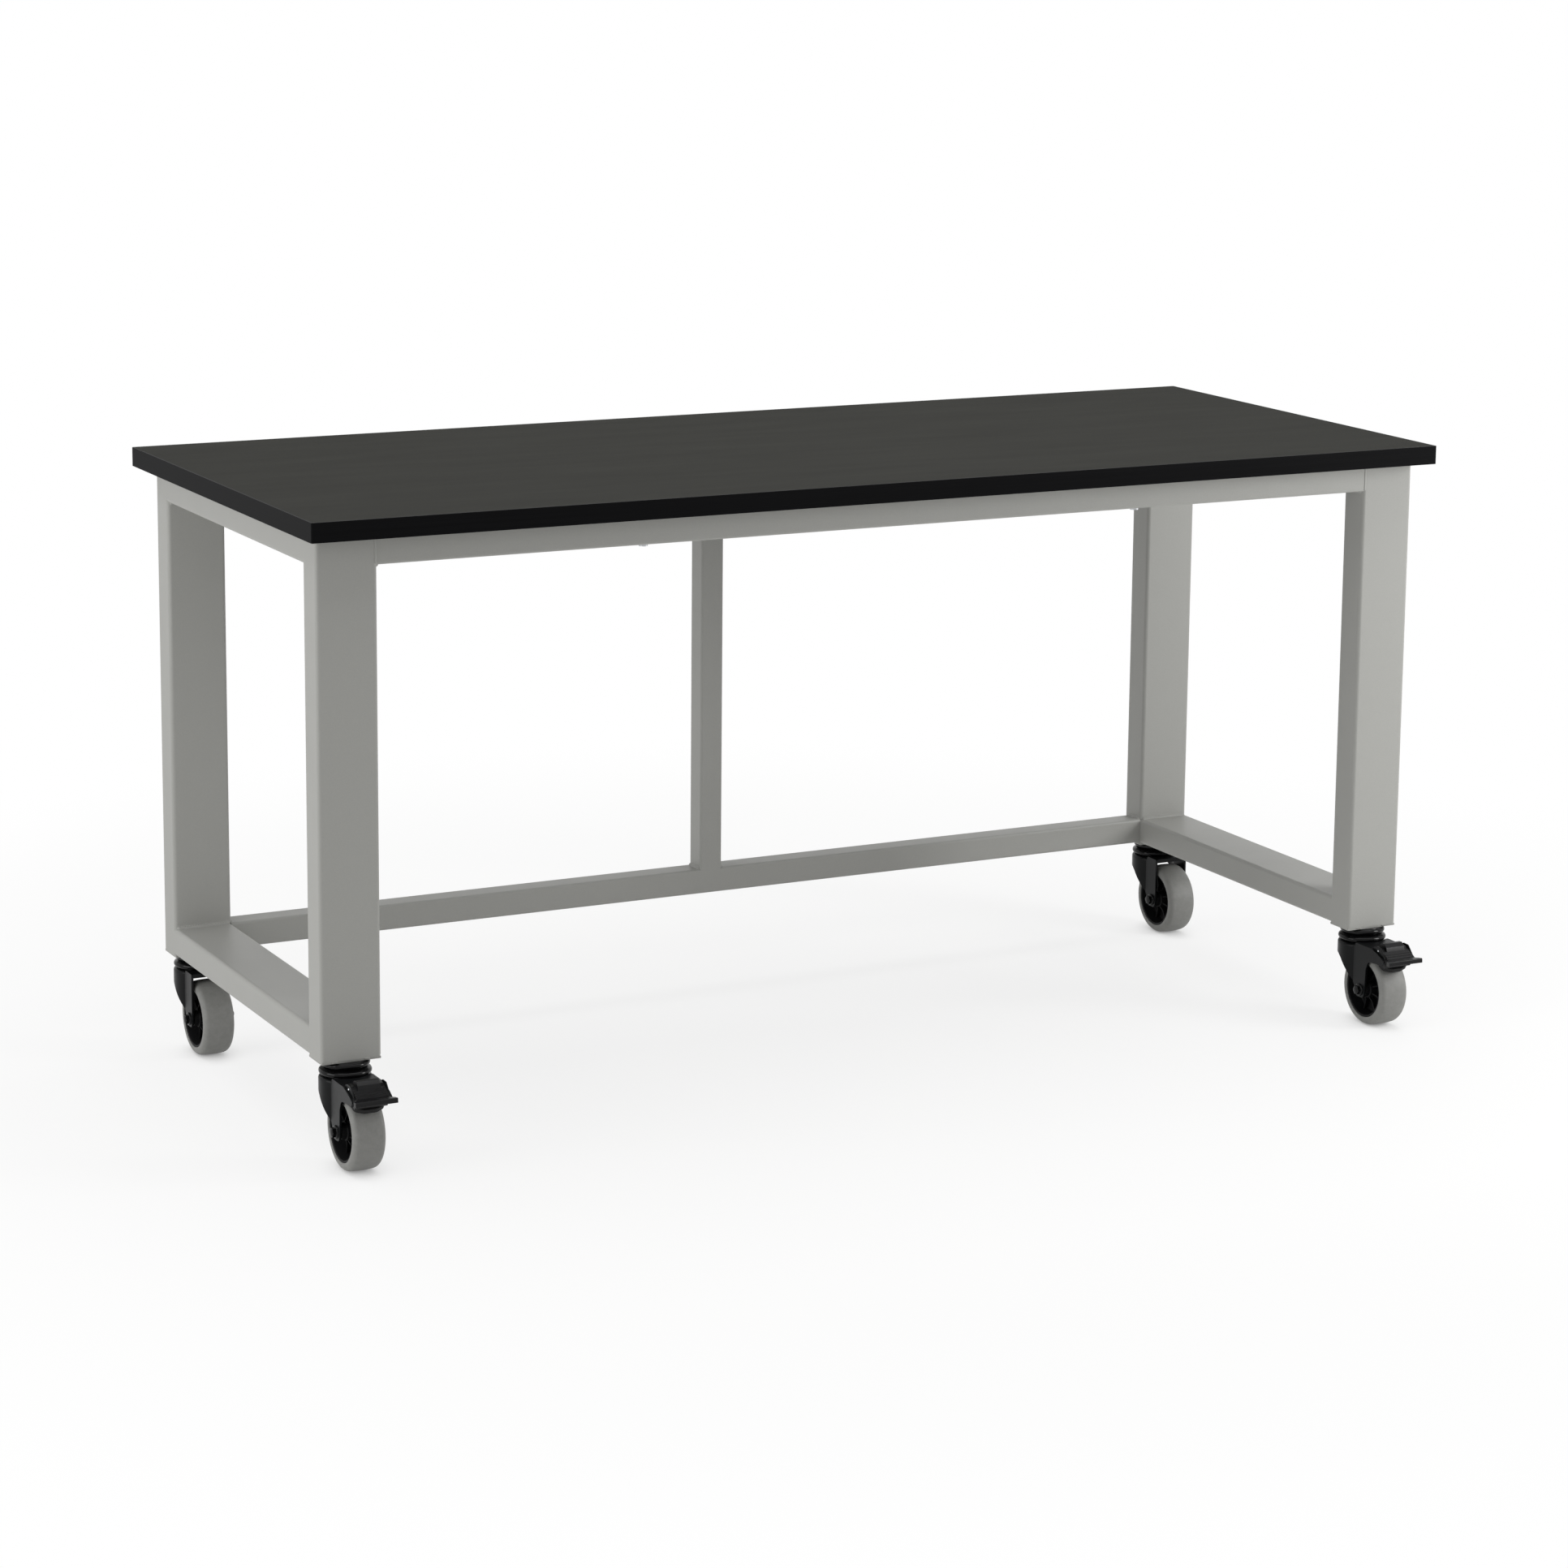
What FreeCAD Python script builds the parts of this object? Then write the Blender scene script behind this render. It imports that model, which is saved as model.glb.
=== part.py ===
"""Rolling workbench: laminate top on a welded steel frame that stands on four swivel casters.

Millimetres, +Z up, X along the bench, front edge towards -Y. The origin is on the floor under
the middle of the whole outline, which reaches further forward than back because the two front
casters carry brake pedals that stand out beyond the top.
"""
import FreeCAD, Part
import math
import os
import re

import Sketcher

# Driving dimensions
SIZES = {
    # whole bench
    "bench_length": 1828.8,
    "bench_depth": 762.0,
    "bench_height": 914.4,
    # top: particle core between laminate and backer, with a band on all four edges
    "top_thick": 28.0,
    "laminate_thick": 1.2,
    "backer_thick": 1.2,
    "band_thick": 3.0,
    "band_round": 2.5,
    # how far the top stands out beyond the frame
    "side_overhang": 19.0,
    "front_overhang": 37.0,
    "back_overhang": 54.0,
    # tubes
    "leg_wide": 88.9,
    "leg_deep": 50.8,
    "tube_wall": 3.0,
    "leg_corner": 5.5,
    "leg_end_round": 5.0,
    "rail_high": 42.0,
    "apron_deep": 25.4,
    "stretcher_high": 40.0,
    "stretcher_deep": 40.0,
    "post_wide": 38.1,
    "small_corner": 4.0,
    # foot plates and stem nuts
    "plate_thick": 3.0,
    "plate_inset": 0.8,
    "stem_radius": 6.0,
    "stem_rise": 16.0,
    "stem_fit": 0.2,
    "stem_nut_across": 19.0,
    "stem_nut_high": 10.0,
    # screws that hold the top
    "screw_radius": 3.0,
    "screw_head_radius": 6.5,
    "screw_head_high": 3.0,
    "screw_bite": 18.0,
    "pilot_fit": 0.05,
    "screw_hole_fit": 0.4,
    # wheels
    "wheel_diameter": 114.3,
    "wheel_width": 48.0,
    "tread_arc": 130.0,
    "shoulder": 9.0,
    "shoulder_arc": 9.6,
    "tyre_thick": 13.0,
    "tyre_side": 5.0,
    "rim_width": 45.0,
    "rim_thick": 5.0,
    "web_thick": 6.0,
    "hub_radius": 15.0,
    "hub_long": 51.0,
    "rib_thick": 3.0,
    "rib_deep": 34.0,
    "rib_count": 8,
    "bush_radius": 8.0,
    "hub_fit": 0.08,
    # axle
    "axle_radius": 4.0,
    "axle_fit": 0.08,
    "axle_hex_across": 13.0,
    "axle_head_high": 5.3,
    "axle_nut_high": 8.0,
    "axle_tip": 2.0,
    # forks
    "trail": 41.0,
    "crown_gap": 7.7,
    "crown_thick": 4.0,
    "fork_sheet": 3.5,
    "fork_inside": 53.0,
    "fork_end_radius": 13.0,
    "skirt_radius": 37.5,
    "skirt_high": 20.0,
    "skirt_flat": 23.0,
    "skirt_arc": 30.0,
    # swivel races
    "lower_race_high": 12.5,
    "lower_race_radius": 36.5,
    "lower_race_foot": 33.0,
    "upper_race_high": 10.6,
    "upper_race_radius": 34.5,
    "race_gap": 0.3,
    "race_round": 3.0,
    "kingpin_fit": 0.08,
    "kingpin_head_radius": 9.0,
    "kingpin_head_high": 3.0,
    # brake
    "pivot_forward": 84.0,
    "pivot_lift": 7.5,
    "cheek_radius": 8.0,
    "cheek_arch": 26.0,
    "arch_rise": 38.0,
    "pin_radius": 3.0,
    "pin_fit": 0.08,
    "pin_head_radius": 5.0,
    "pin_head_high": 1.6,
    "lever_wide": 51.0,
    "lever_drop": 3.0,
    "lever_rise": 6.0,
    "pedal_wide": 62.0,
    "pedal_start": 97.0,
    "lip_reach": 121.0,
    "lip_thick": 7.5,
    "lip_drop": 9.0,
    "block_wide": 35.0,
    "block_rise": 10.5,
    "block_step": 7.0,
    "tread_notch": 2.5,
    "shoe_wide": 40.0,
    "shoe_long": 18.0,
    "shoe_thick": 8.0,
    "shoe_gap": 6.0,
    # length that every cut runs past what it cuts
    "overrun": 2.0,
    # side of the empty space that a plan outline is cut out of
    "clear_side": 300.0,
}

# Places and lengths that follow from the sizes above
DERIVED = {
    "lip_stick": "lip_reach - front_overhang - leg_deep/2",
    "top_front": "-(bench_depth - lip_stick)/2",
    "top_back": "top_front + bench_depth",
    "front_leg_y": "top_front + front_overhang + leg_deep/2",
    "back_leg_y": "top_back - back_overhang - leg_deep/2",
    "leg_x": "bench_length/2 - side_overhang - leg_wide/2",
    "leg_top": "bench_height - top_thick",
    "wheel_radius": "wheel_diameter/2",
    "crown_under": "wheel_diameter + crown_gap",
    "crown_top": "crown_under + crown_thick",
    "lower_race_top": "crown_top + lower_race_high",
    "upper_race_under": "lower_race_top + race_gap",
    "plate_under": "upper_race_under + upper_race_high",
    "leg_bottom": "plate_under + plate_thick",
    "leg_long": "leg_top - leg_bottom",
    "rail_gap": "back_leg_y - front_leg_y - leg_deep",
    "rail_y": "(front_leg_y + back_leg_y)/2",
    "end_gap": "2*leg_x - leg_wide",
    "top_rail_z": "leg_top - rail_high/2",
    "bottom_rail_z": "leg_bottom + rail_high/2",
    "front_apron_y": "front_leg_y - leg_deep/2 + apron_deep/2",
    "back_line_y": "back_leg_y - leg_deep/2 + stretcher_deep/2",
    "stretcher_top": "leg_bottom + rail_high",
    "stretcher_z": "stretcher_top - stretcher_high/2",
    "post_top": "leg_top - rail_high",
    "post_long": "post_top - stretcher_top + 2*small_corner",
    "post_z": "(post_top + stretcher_top)/2",
    "core_radius": "wheel_radius - tyre_thick",
    "tread_half": "wheel_width/2 - shoulder",
    "tread_crown": "tread_arc - sqrt(tread_arc*tread_arc - tread_half*tread_half)",
    "tread_edge": "wheel_radius - tread_crown",
    "rim_inside": "core_radius - rim_thick",
    "fork_front": "trail + fork_end_radius",
    "fork_wide": "fork_inside + 2*fork_sheet",
    "pivot_z": "crown_under + pivot_lift",
    "head_top": "crown_under - race_gap",
    "head_under": "head_top - kingpin_head_high",
    "skirt_side": "-sqrt(skirt_radius*skirt_radius - fork_wide*fork_wide/4)",
    "skirt_under": "crown_top - skirt_high",
    "shoe_reach": "wheel_radius + shoe_gap",
    "lip_top": "pivot_z - lip_drop",
    "hub_bore": "bush_radius + hub_fit",
    "hole_radius": "axle_radius + axle_fit",
}

# Chosen shares
HEX_SHARES = ((1, 0), (0.5, 0.866025), (-0.5, 0.866025), (-1, 0), (-0.5, -0.866025), (0.5, -0.866025))
HEX_ROUND_SHARE = 0.57735
RAIL_SCREW_SHARES = (-0.4, 0, 0.4)
APRON_SCREW_SHARES = (-0.25, 0.25)
FORK_END_SHARES = (0.906, -0.423)
WAIST_SHARE = 0.1
WAIST_DROP_SHARE = 0.5
CHEEK_LOW_SHARES = (0.259, 0.966)
CHEEK_HIGH_SHARES = (0.1, 0.995)
CHEEK_FOOT_SHARES = (0.84, 0.25)
PEDAL_REAR_SHARE = 0.78
SHOE_PLACE_SHARES = (0.743, 0.669)
SHOE_SLOPE_SHARES = (0.852, 0.524)

doc = FreeCAD.newDocument("workbench")
sheet = doc.addObject("Spreadsheet::Sheet", "sizes")
for row, (alias, number) in enumerate(SIZES.items(), start=1):
    sheet.set("A%d" % row, alias.replace("_", " "))
    sheet.set("B%d" % row, str(number))
    sheet.setAlias("B%d" % row, alias)
doc.recompute()

# Every finished piece by its node name
nodes = {}


def full(text):
    """Write out the derived names in an expression and point each size at its cell."""
    def swap(found):
        word = found.group(0)
        if word in DERIVED:
            return "(" + full(DERIVED[word]) + ")"
        return "sizes." + word if word in SIZES else word
    return re.sub(r"[a-z][a-z_]*", swap, str(text))


def value(text):
    """The present number of an expression."""
    return float(sheet.evalExpression(full(text)))


def bind(thing, prop, text):
    """Tie one property to an expression in the sizes."""
    thing.setExpression(prop, full(text))


def put(thing, place):
    """Tie the place of a piece to three expressions."""
    for axis, text in zip("xyz", place):
        bind(thing, "Placement.Base." + axis, text)


def node(label, thing):
    """Name a finished piece."""
    thing.Label = label
    nodes[label] = thing
    return thing


def new_body(name, place=("0", "0", "0")):
    """Empty body at a place."""
    body = doc.addObject("PartDesign::Body", name)
    put(body, place)
    return body


def sketch_on(body, role, lift="0"):
    """Empty sketch on one of the body's own planes, or lifted off it."""
    sketch = body.newObject("Sketcher::SketchObject", body.Name + "_sketch")
    plane = next(item for item in body.Origin.OriginFeatures if item.Role == role)
    sketch.AttachmentSupport = [(plane, "")]
    sketch.MapMode = "FlatFace"
    bind(sketch, "AttachmentOffset.Base.z", lift)
    return sketch


def fix(sketch, kind, text, *target):
    """Add one sized constraint and tie it to an expression."""
    index = sketch.addConstraint(Sketcher.Constraint(kind, *target, value(text)))
    bind(sketch, "Constraints[%d]" % index, text)


def arc_edge(start, end, radius):
    """Arc under a half circle from start to end; a positive radius turns to the left."""
    chord = end - start
    half = chord.Length/2
    rise = math.sqrt(max(radius*radius - half*half, 0.0))
    side = FreeCAD.Vector(-chord.y, chord.x, 0).normalize()
    centre = start + chord*0.5 + side*math.copysign(rise, radius)
    first, last = (start, end) if radius > 0 else (end, start)
    angles = [math.atan2(point.y - centre.y, point.x - centre.x) for point in (first, last)]
    if angles[1] < angles[0]:
        angles[1] += 2*math.pi
    circle = Part.Circle(centre, FreeCAD.Vector(0, 0, 1), abs(radius))
    return Part.ArcOfCircle(circle, *angles)


def outline(sketch, points):
    """Closed outline; a third entry makes the stretch after that point an arc.

    The third entry is (radius, turn), with turn 1 for left and -1 for right.
    """
    ends = []
    corners = [FreeCAD.Vector(value(point[0]), value(point[1]), 0) for point in points]
    for index, point in enumerate(points):
        start, end = corners[index], corners[(index + 1) % len(points)]
        if len(point) == 2:
            geo = sketch.addGeometry(Part.LineSegment(start, end), False)
            ends.append((geo, 1, 2))
        else:
            radius, turn = point[2]
            geo = sketch.addGeometry(arc_edge(start, end, value(radius)*turn), False)
            ends.append((geo, 1, 2) if turn > 0 else (geo, 2, 1))
    for index, (geo, first, last) in enumerate(ends):
        after = ends[(index + 1) % len(ends)]
        sketch.addConstraint(Sketcher.Constraint("Coincident", geo, last, after[0], after[1]))
    for (geo, first, last), point in zip(ends, points):
        fix(sketch, "DistanceX", point[0], -1, 1, geo, first)
        fix(sketch, "DistanceY", point[1], -1, 1, geo, first)
        if len(point) == 3:
            fix(sketch, "Radius", point[2][0], geo)


def disc(sketch, across, up, radius):
    """Circle in a sketch."""
    centre = FreeCAD.Vector(value(across), value(up), 0)
    geo = sketch.addGeometry(Part.Circle(centre, FreeCAD.Vector(0, 0, 1), value(radius)), False)
    fix(sketch, "DistanceX", across, -1, 1, geo, 3)
    fix(sketch, "DistanceY", up, -1, 1, geo, 3)
    fix(sketch, "Radius", radius, geo)


def rectangle(low, high):
    """Corner list of a rectangle between two corners."""
    return [low, (high[0], low[1]), high, (low[0], high[1])]


def pad(body, sketch, length, both=True):
    """Thicken a sketch, to both sides of it or to its front."""
    feature = body.newObject("PartDesign::Pad", body.Name + "_pad")
    feature.Profile = sketch
    feature.SideType = "Symmetric" if both else "One side"
    bind(feature, "Length", length)
    return feature


def pocket(body, sketch, length):
    """Cut a sketch out of a body, to both sides of it."""
    feature = body.newObject("PartDesign::Pocket", body.Name + "_pocket")
    feature.Profile = sketch
    feature.SideType = "Symmetric"
    bind(feature, "Length", length)
    return feature


def turned(name, axis, points, place):
    """Body turned about the body's own X or Z axis from (along, radius) points."""
    body = new_body(name, place)
    sketch = sketch_on(body, "XY_Plane" if axis == "X_Axis" else "XZ_Plane")
    if axis == "Z_Axis":
        points = [(point[1], point[0]) + tuple(point[2:]) for point in points]
    outline(sketch, points)
    feature = body.newObject("PartDesign::Revolution", name + "_turn")
    feature.Profile = sketch
    line = next(item for item in body.Origin.OriginFeatures if item.Role == axis)
    feature.ReferenceAxis = (line, [""])
    feature.Angle = 360
    return body


def box(name, size, place):
    """Box by its three sides and its low corner."""
    part = doc.addObject("Part::Box", name)
    for prop, text in zip(("Length", "Width", "Height"), size):
        bind(part, prop, text)
    put(part, place)
    return part


def rod(name, radius, height, place):
    """Upright cylinder by its foot."""
    part = doc.addObject("Part::Cylinder", name)
    bind(part, "Radius", radius)
    bind(part, "Height", height)
    put(part, place)
    return part


def cut(name, base, tool):
    """One piece less another."""
    part = doc.addObject("Part::Cut", name)
    part.Base = base
    part.Tool = tool
    return part


def group(name, items):
    """Several separate solids as one object."""
    part = doc.addObject("Part::Compound", name)
    part.Links = items
    return part


# Sketch plane for each long direction of a bar
PLANES = {"x": "YZ_Plane", "y": "XZ_Plane", "z": "XY_Plane"}


def bar(name, along, size, corner, centre):
    """Solid bar with rounded long edges, size given along x, y and z."""
    body = new_body(name, centre)
    across = {"x": (1, 2), "y": (0, 2), "z": (0, 1)}[along]
    half = ["(%s)/2" % size[index] for index in across]
    sketch = sketch_on(body, PLANES[along])
    outline(sketch, rectangle(("-" + half[0], "-" + half[1]), (half[0], half[1])))
    solid = pad(body, sketch, size["xyz".index(along)])
    doc.recompute()
    way = FreeCAD.Vector(*[1 if axis == along else 0 for axis in "xyz"])
    edges = []
    for number, edge in enumerate(solid.Shape.Edges, start=1):
        if abs(edge.tangentAt(edge.FirstParameter).dot(way)) > 0.99:
            edges.append("Edge%d" % number)
    rounding = body.newObject("PartDesign::Fillet", name + "_round")
    rounding.Base = (solid, edges)
    bind(rounding, "Radius", corner)
    return body


def tube(name, along, size, corner, centre):
    """Bar and the same bar hollowed from end to end."""
    solid = bar(name + "_bar", along, size, corner, centre)
    inner = []
    place = []
    for axis, side, middle in zip("xyz", size, centre):
        inner.append(side + " + 2*overrun" if axis == along else side + " - 2*tube_wall")
        place.append("%s - (%s)/2" % (middle, inner[-1]))
    hollow = cut(name + "_tube", solid, box(name + "_bore", inner, place))
    return solid, hollow


# Frame: legs
SIDES = (("left", "-leg_x"), ("right", "leg_x"))
ROWS = (("front", "front_leg_y"), ("back", "back_leg_y"))
leg_bars = []
for side, leg_place in SIDES:
    for line, row_place in ROWS:
        name = "%s_%s_leg" % (side, line)
        middle = (leg_place, row_place, "(leg_top + leg_bottom)/2")
        solid, hollow = tube(name, "z", ("leg_wide", "leg_deep", "leg_long"), "leg_corner", middle)
        leg_bars.append(solid)
        edge_x = leg_place + " + leg_wide/2 - leg_end_round"
        waste = box(name + "_corner", ("leg_end_round + overrun", "leg_deep + 2*overrun",
                                       "leg_end_round + overrun"),
                    (edge_x, row_place + " - leg_deep/2 - overrun", "leg_bottom - overrun"))
        keep = rod(name + "_keep", "leg_end_round", "leg_deep + 4*overrun",
                   (edge_x, row_place + " + leg_deep/2 + 2*overrun", "leg_bottom + leg_end_round"))
        keep.Placement.Rotation = FreeCAD.Rotation(FreeCAD.Vector(1, 0, 0), 90)
        node(name, cut(name, hollow, cut(name + "_waste", waste, keep)))
leg_blocks = group("leg_blocks", leg_bars)

# Screws that hold the top, their holes in the frame and their pilots in the core
SCREW_PLACES = [(leg_place, "rail_y + rail_gap*(%s)" % share)
                for side, leg_place in SIDES for share in RAIL_SCREW_SHARES]
for share in APRON_SCREW_SHARES:
    SCREW_PLACES.append(("end_gap*(%s)" % share, "front_apron_y"))
    SCREW_PLACES.append(("end_gap*(%s)" % share, "back_line_y"))
screws = []
screw_holes = []
pilots = []
for number, (across, along) in enumerate(SCREW_PLACES):
    head_z = "leg_top - rail_high - screw_head_high"
    profile = [(head_z, "0"), (head_z, "screw_head_radius"), ("leg_top - rail_high", "screw_head_radius"),
               ("leg_top - rail_high", "screw_radius"), ("leg_top + screw_bite", "screw_radius"),
               ("leg_top + screw_bite", "0")]
    screws.append(turned("top_screw_%d" % number, "Z_Axis", profile, (across, along, "0")))
    screw_holes.append(rod("screw_hole_%d" % number, "screw_radius + screw_hole_fit",
                           "rail_high + 2*overrun", (across, along, "leg_top - rail_high - overrun")))
    pilots.append(rod("pilot_%d" % number, "screw_radius + pilot_fit",
                      "screw_bite + pilot_fit + overrun", (across, along, "leg_top - overrun")))
hole_set = group("screw_hole_set", screw_holes)
pilot_set = group("pilot_set", pilots)
node("top_screws", group("top_screws", screws))

# Frame: end rails, coped round the legs so that their sides run on flush
rail_size = ("leg_wide", "rail_gap + 2*leg_corner", "rail_high")
for side, leg_place in SIDES:
    for level, height in (("top", "top_rail_z"), ("bottom", "bottom_rail_z")):
        name = "%s_%s_rail" % (side, level)
        solid, hollow = tube(name, "y", rail_size, "leg_corner", (leg_place, "rail_y", height))
        coped = cut(name + "_coped", hollow, leg_blocks)
        node(name, cut(name, coped, hole_set) if level == "top" else coped)

# Frame: aprons, stretcher and centre post
apron_size = ("end_gap + 2*leg_corner", "apron_deep", "rail_high")
solid, hollow = tube("front_apron", "x", apron_size, "small_corner", ("0", "front_apron_y", "top_rail_z"))
node("front_apron", cut("front_apron", cut("front_apron_coped", hollow, leg_blocks), hole_set))
back_apron_size = ("end_gap", "stretcher_deep", "rail_high")
back_bar, hollow = tube("back_apron", "x", back_apron_size, "small_corner",
                        ("0", "back_line_y", "top_rail_z"))
node("back_apron", cut("back_apron", hollow, hole_set))
stretcher_size = ("end_gap", "stretcher_deep", "stretcher_high")
low_bar, hollow = tube("back_stretcher", "x", stretcher_size, "small_corner",
                       ("0", "back_line_y", "stretcher_z"))
node("back_stretcher", hollow)
solid, hollow = tube("centre_post", "z", ("post_wide", "stretcher_deep", "post_long"), "small_corner",
                     ("0", "back_line_y", "post_z"))
node("centre_post", cut("centre_post", hollow, group("post_ends", [back_bar, low_bar])))

# Top: core, laminate and backer inside the band
inner_size = ("bench_length - 2*band_thick", "bench_depth - 2*band_thick")
inner_place = ("-bench_length/2 + band_thick", "top_front + band_thick")
backer = box("backer_sheet", inner_size + ("backer_thick",), inner_place + ("leg_top",))
core = box("core_board", inner_size + ("top_thick - laminate_thick - backer_thick",),
           inner_place + ("leg_top + backer_thick",))
laminate = box("top_laminate", inner_size + ("laminate_thick",),
               inner_place + ("bench_height - laminate_thick",))
node("top_backer", cut("top_backer", backer, pilot_set))
node("top_core", cut("top_core", core, pilot_set))
node("top_laminate", laminate)


def long_band(name, outer_y, inner_y, turn):
    """Front or back edge band, with its two outer corners rounded."""
    body = new_body(name, ("0", "0", "leg_top + top_thick/2"))
    end = "bench_length/2"
    step = "%s + (%d)*band_round" % (outer_y, turn)
    points = [("-%s" % end, inner_y), ("-%s" % end, step, ("band_round", turn)),
              ("-%s + band_round" % end, outer_y), ("%s - band_round" % end, outer_y, ("band_round", turn)),
              (end, step), (end, inner_y)]
    sketch = sketch_on(body, "XY_Plane")
    outline(sketch, points)
    pad(body, sketch, "top_thick")
    return body


bands = [long_band("front_band", "top_front", "top_front + band_thick", 1),
         long_band("back_band", "top_back", "top_back - band_thick", -1)]
band_size = ("band_thick", "bench_depth - 2*band_thick", "top_thick")
for side, place in (("left", "-bench_length/2"), ("right", "bench_length/2 - band_thick")):
    bands.append(box(side + "_band", band_size, (place, "top_front + band_thick", "leg_top")))
node("edge_bands", group("edge_bands", bands))


def hexagon(sketch, across):
    """Hexagon by its width across the flats."""
    reach = "(%s)*%s" % (across, HEX_ROUND_SHARE)
    outline(sketch, [("%s*(%s)" % (reach, one), "%s*(%s)" % (reach, two)) for one, two in HEX_SHARES])


# Foot plates under the legs and the nuts on them
plates = []
nuts = []
for side, leg_place in SIDES:
    for line, row_place in ROWS:
        name = side + "_" + line
        sheet_size = ("leg_wide - 2*plate_inset", "leg_deep - 2*plate_inset", "plate_thick")
        corner = (leg_place + " - leg_wide/2 + plate_inset", row_place + " - leg_deep/2 + plate_inset",
                  "plate_under")
        bore = rod(name + "_stem_hole", "stem_radius + stem_fit", "plate_thick + 2*overrun",
                   (leg_place, row_place, "plate_under - overrun"))
        plates.append(cut(name + "_plate", box(name + "_plate_sheet", sheet_size, corner), bore))
        nut = new_body(name + "_nut", (leg_place, row_place, "leg_bottom"))
        sketch = sketch_on(nut, "XY_Plane")
        hexagon(sketch, "stem_nut_across")
        disc(sketch, "0", "0", "stem_radius + stem_fit")
        pad(nut, sketch, "stem_nut_high", both=False)
        nuts.append(nut)
node("base_plates", group("base_plates", plates))
node("stem_nuts", group("stem_nuts", nuts))


def forward(points):
    """Side-view points given as (forward, height), for a sketch that looks along X."""
    laid = []
    for point in points:
        arc = ((point[2][0], -point[2][1]),) if len(point) == 3 else ()
        laid.append(("-(%s)" % point[0], point[1]) + arc)
    return laid


def stem_race(label, place):
    """Threaded stem, upper race and kingpin in one turned piece."""
    inner = "upper_race_radius - race_round"
    points = [("head_under", "0"), ("head_under", "kingpin_head_radius"),
              ("head_top", "kingpin_head_radius"), ("head_top", "stem_radius"),
              ("upper_race_under", "stem_radius"), ("upper_race_under", inner, ("race_round", 1)),
              ("upper_race_under + race_round", "upper_race_radius"),
              ("plate_under - race_round", "upper_race_radius", ("race_round", 1)),
              ("plate_under", inner), ("plate_under", "stem_radius"),
              ("leg_bottom + stem_rise", "stem_radius"), ("leg_bottom + stem_rise", "0")]
    node(label, turned(label, "Z_Axis", points, place + ("0",)))


def lower_race(label, place):
    """Cup on the fork that holds the lower ball race."""
    bore = "stem_radius + kingpin_fit"
    points = [("crown_top", bore), ("crown_top", "lower_race_foot"),
              ("crown_top + race_round", "lower_race_radius"),
              ("lower_race_top - race_round", "lower_race_radius", ("race_round", 1)),
              ("lower_race_top", "lower_race_radius - race_round"), ("lower_race_top", bore)]
    node(label, turned(label, "Z_Axis", points, place + ("0",)))


def fork(label, place, braked):
    """Pressed fork: a round skirt that runs into two flanks, with pedal cheeks on the braked kind."""
    body = new_body(label, place + ("0",))
    end_forward, end_down = FORK_END_SHARES
    points = [("-skirt_radius", "crown_top"), ("-skirt_radius", "skirt_under"),
              ("skirt_flat - skirt_radius", "skirt_under", ("skirt_arc", -1)),
              ("trail*%s" % WAIST_SHARE, "crown_top - wheel_radius*%s" % WAIST_DROP_SHARE),
              ("trail - fork_end_radius*%s" % end_forward, "wheel_radius + fork_end_radius*(%s)" % end_down,
               ("fork_end_radius", 1)),
              ("fork_front", "wheel_radius")]
    if braked:
        low, high = CHEEK_LOW_SHARES, CHEEK_HIGH_SHARES
        foot = CHEEK_FOOT_SHARES
        points += [("fork_front", "wheel_radius + arch_rise", ("cheek_arch", -1)),
                   ("pivot_forward*%s" % foot[0], "crown_under - pivot_lift*%s" % foot[1]),
                   ("pivot_forward + cheek_radius*%s" % low[0], "pivot_z - cheek_radius*%s" % low[1],
                    ("cheek_radius", 1)),
                   ("pivot_forward - cheek_radius*%s" % high[0], "pivot_z + cheek_radius*%s" % high[1]),
                   ("fork_front - fork_end_radius/2", "crown_top")]
    else:
        points.append(("fork_front", "crown_top"))
    sketch = sketch_on(body, "YZ_Plane")
    outline(sketch, forward(points))
    pad(body, sketch, "2*skirt_radius")
    # seen from above, all that stands outside the round skirt and the flanks goes
    around = sketch_on(body, "XY_Plane")
    side = "fork_wide/2"
    outline(around, rectangle(("-clear_side", "-clear_side"), ("clear_side", "clear_side")))
    outline(around, [(side, "skirt_side", ("skirt_radius", 1)), ("skirt_radius", "0", ("skirt_radius", 1)),
                     ("0", "skirt_radius", ("skirt_radius", 1)), ("-skirt_radius", "0", ("skirt_radius", 1)),
                     ("-" + side, "skirt_side"), ("-" + side, "-2*lip_reach"), (side, "-2*lip_reach")])
    pocket(body, around, "4*leg_bottom")
    # room for the wheel, round under the crown and straight between the flanks
    cup = sketch_on(body, "XY_Plane")
    disc(cup, "0", "0", "skirt_radius - fork_sheet")
    pocket(body, cup, "2*crown_under")
    slot = sketch_on(body, "XY_Plane")
    outline(slot, rectangle(("-fork_inside/2", "-3*lip_reach"), ("fork_inside/2", "0")))
    pocket(body, slot, "2*crown_under")
    if braked:
        mouth = sketch_on(body, "YZ_Plane")
        outline(mouth, forward(rectangle(("fork_front", "0"), ("lip_reach", "leg_bottom"))))
        pocket(body, mouth, "fork_inside")
        pivot = sketch_on(body, "YZ_Plane")
        disc(pivot, "-pivot_forward", "pivot_z", "pin_radius")
        pocket(body, pivot, "fork_wide + 2*overrun")
    axle = sketch_on(body, "YZ_Plane")
    disc(axle, "-trail", "wheel_radius", "hole_radius")
    pocket(body, axle, "fork_wide + 2*overrun")
    king = sketch_on(body, "XY_Plane")
    disc(king, "0", "0", "stem_radius + kingpin_fit")
    pocket(body, king, "2*crown_top + 2*overrun")
    node(label, body)


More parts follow.
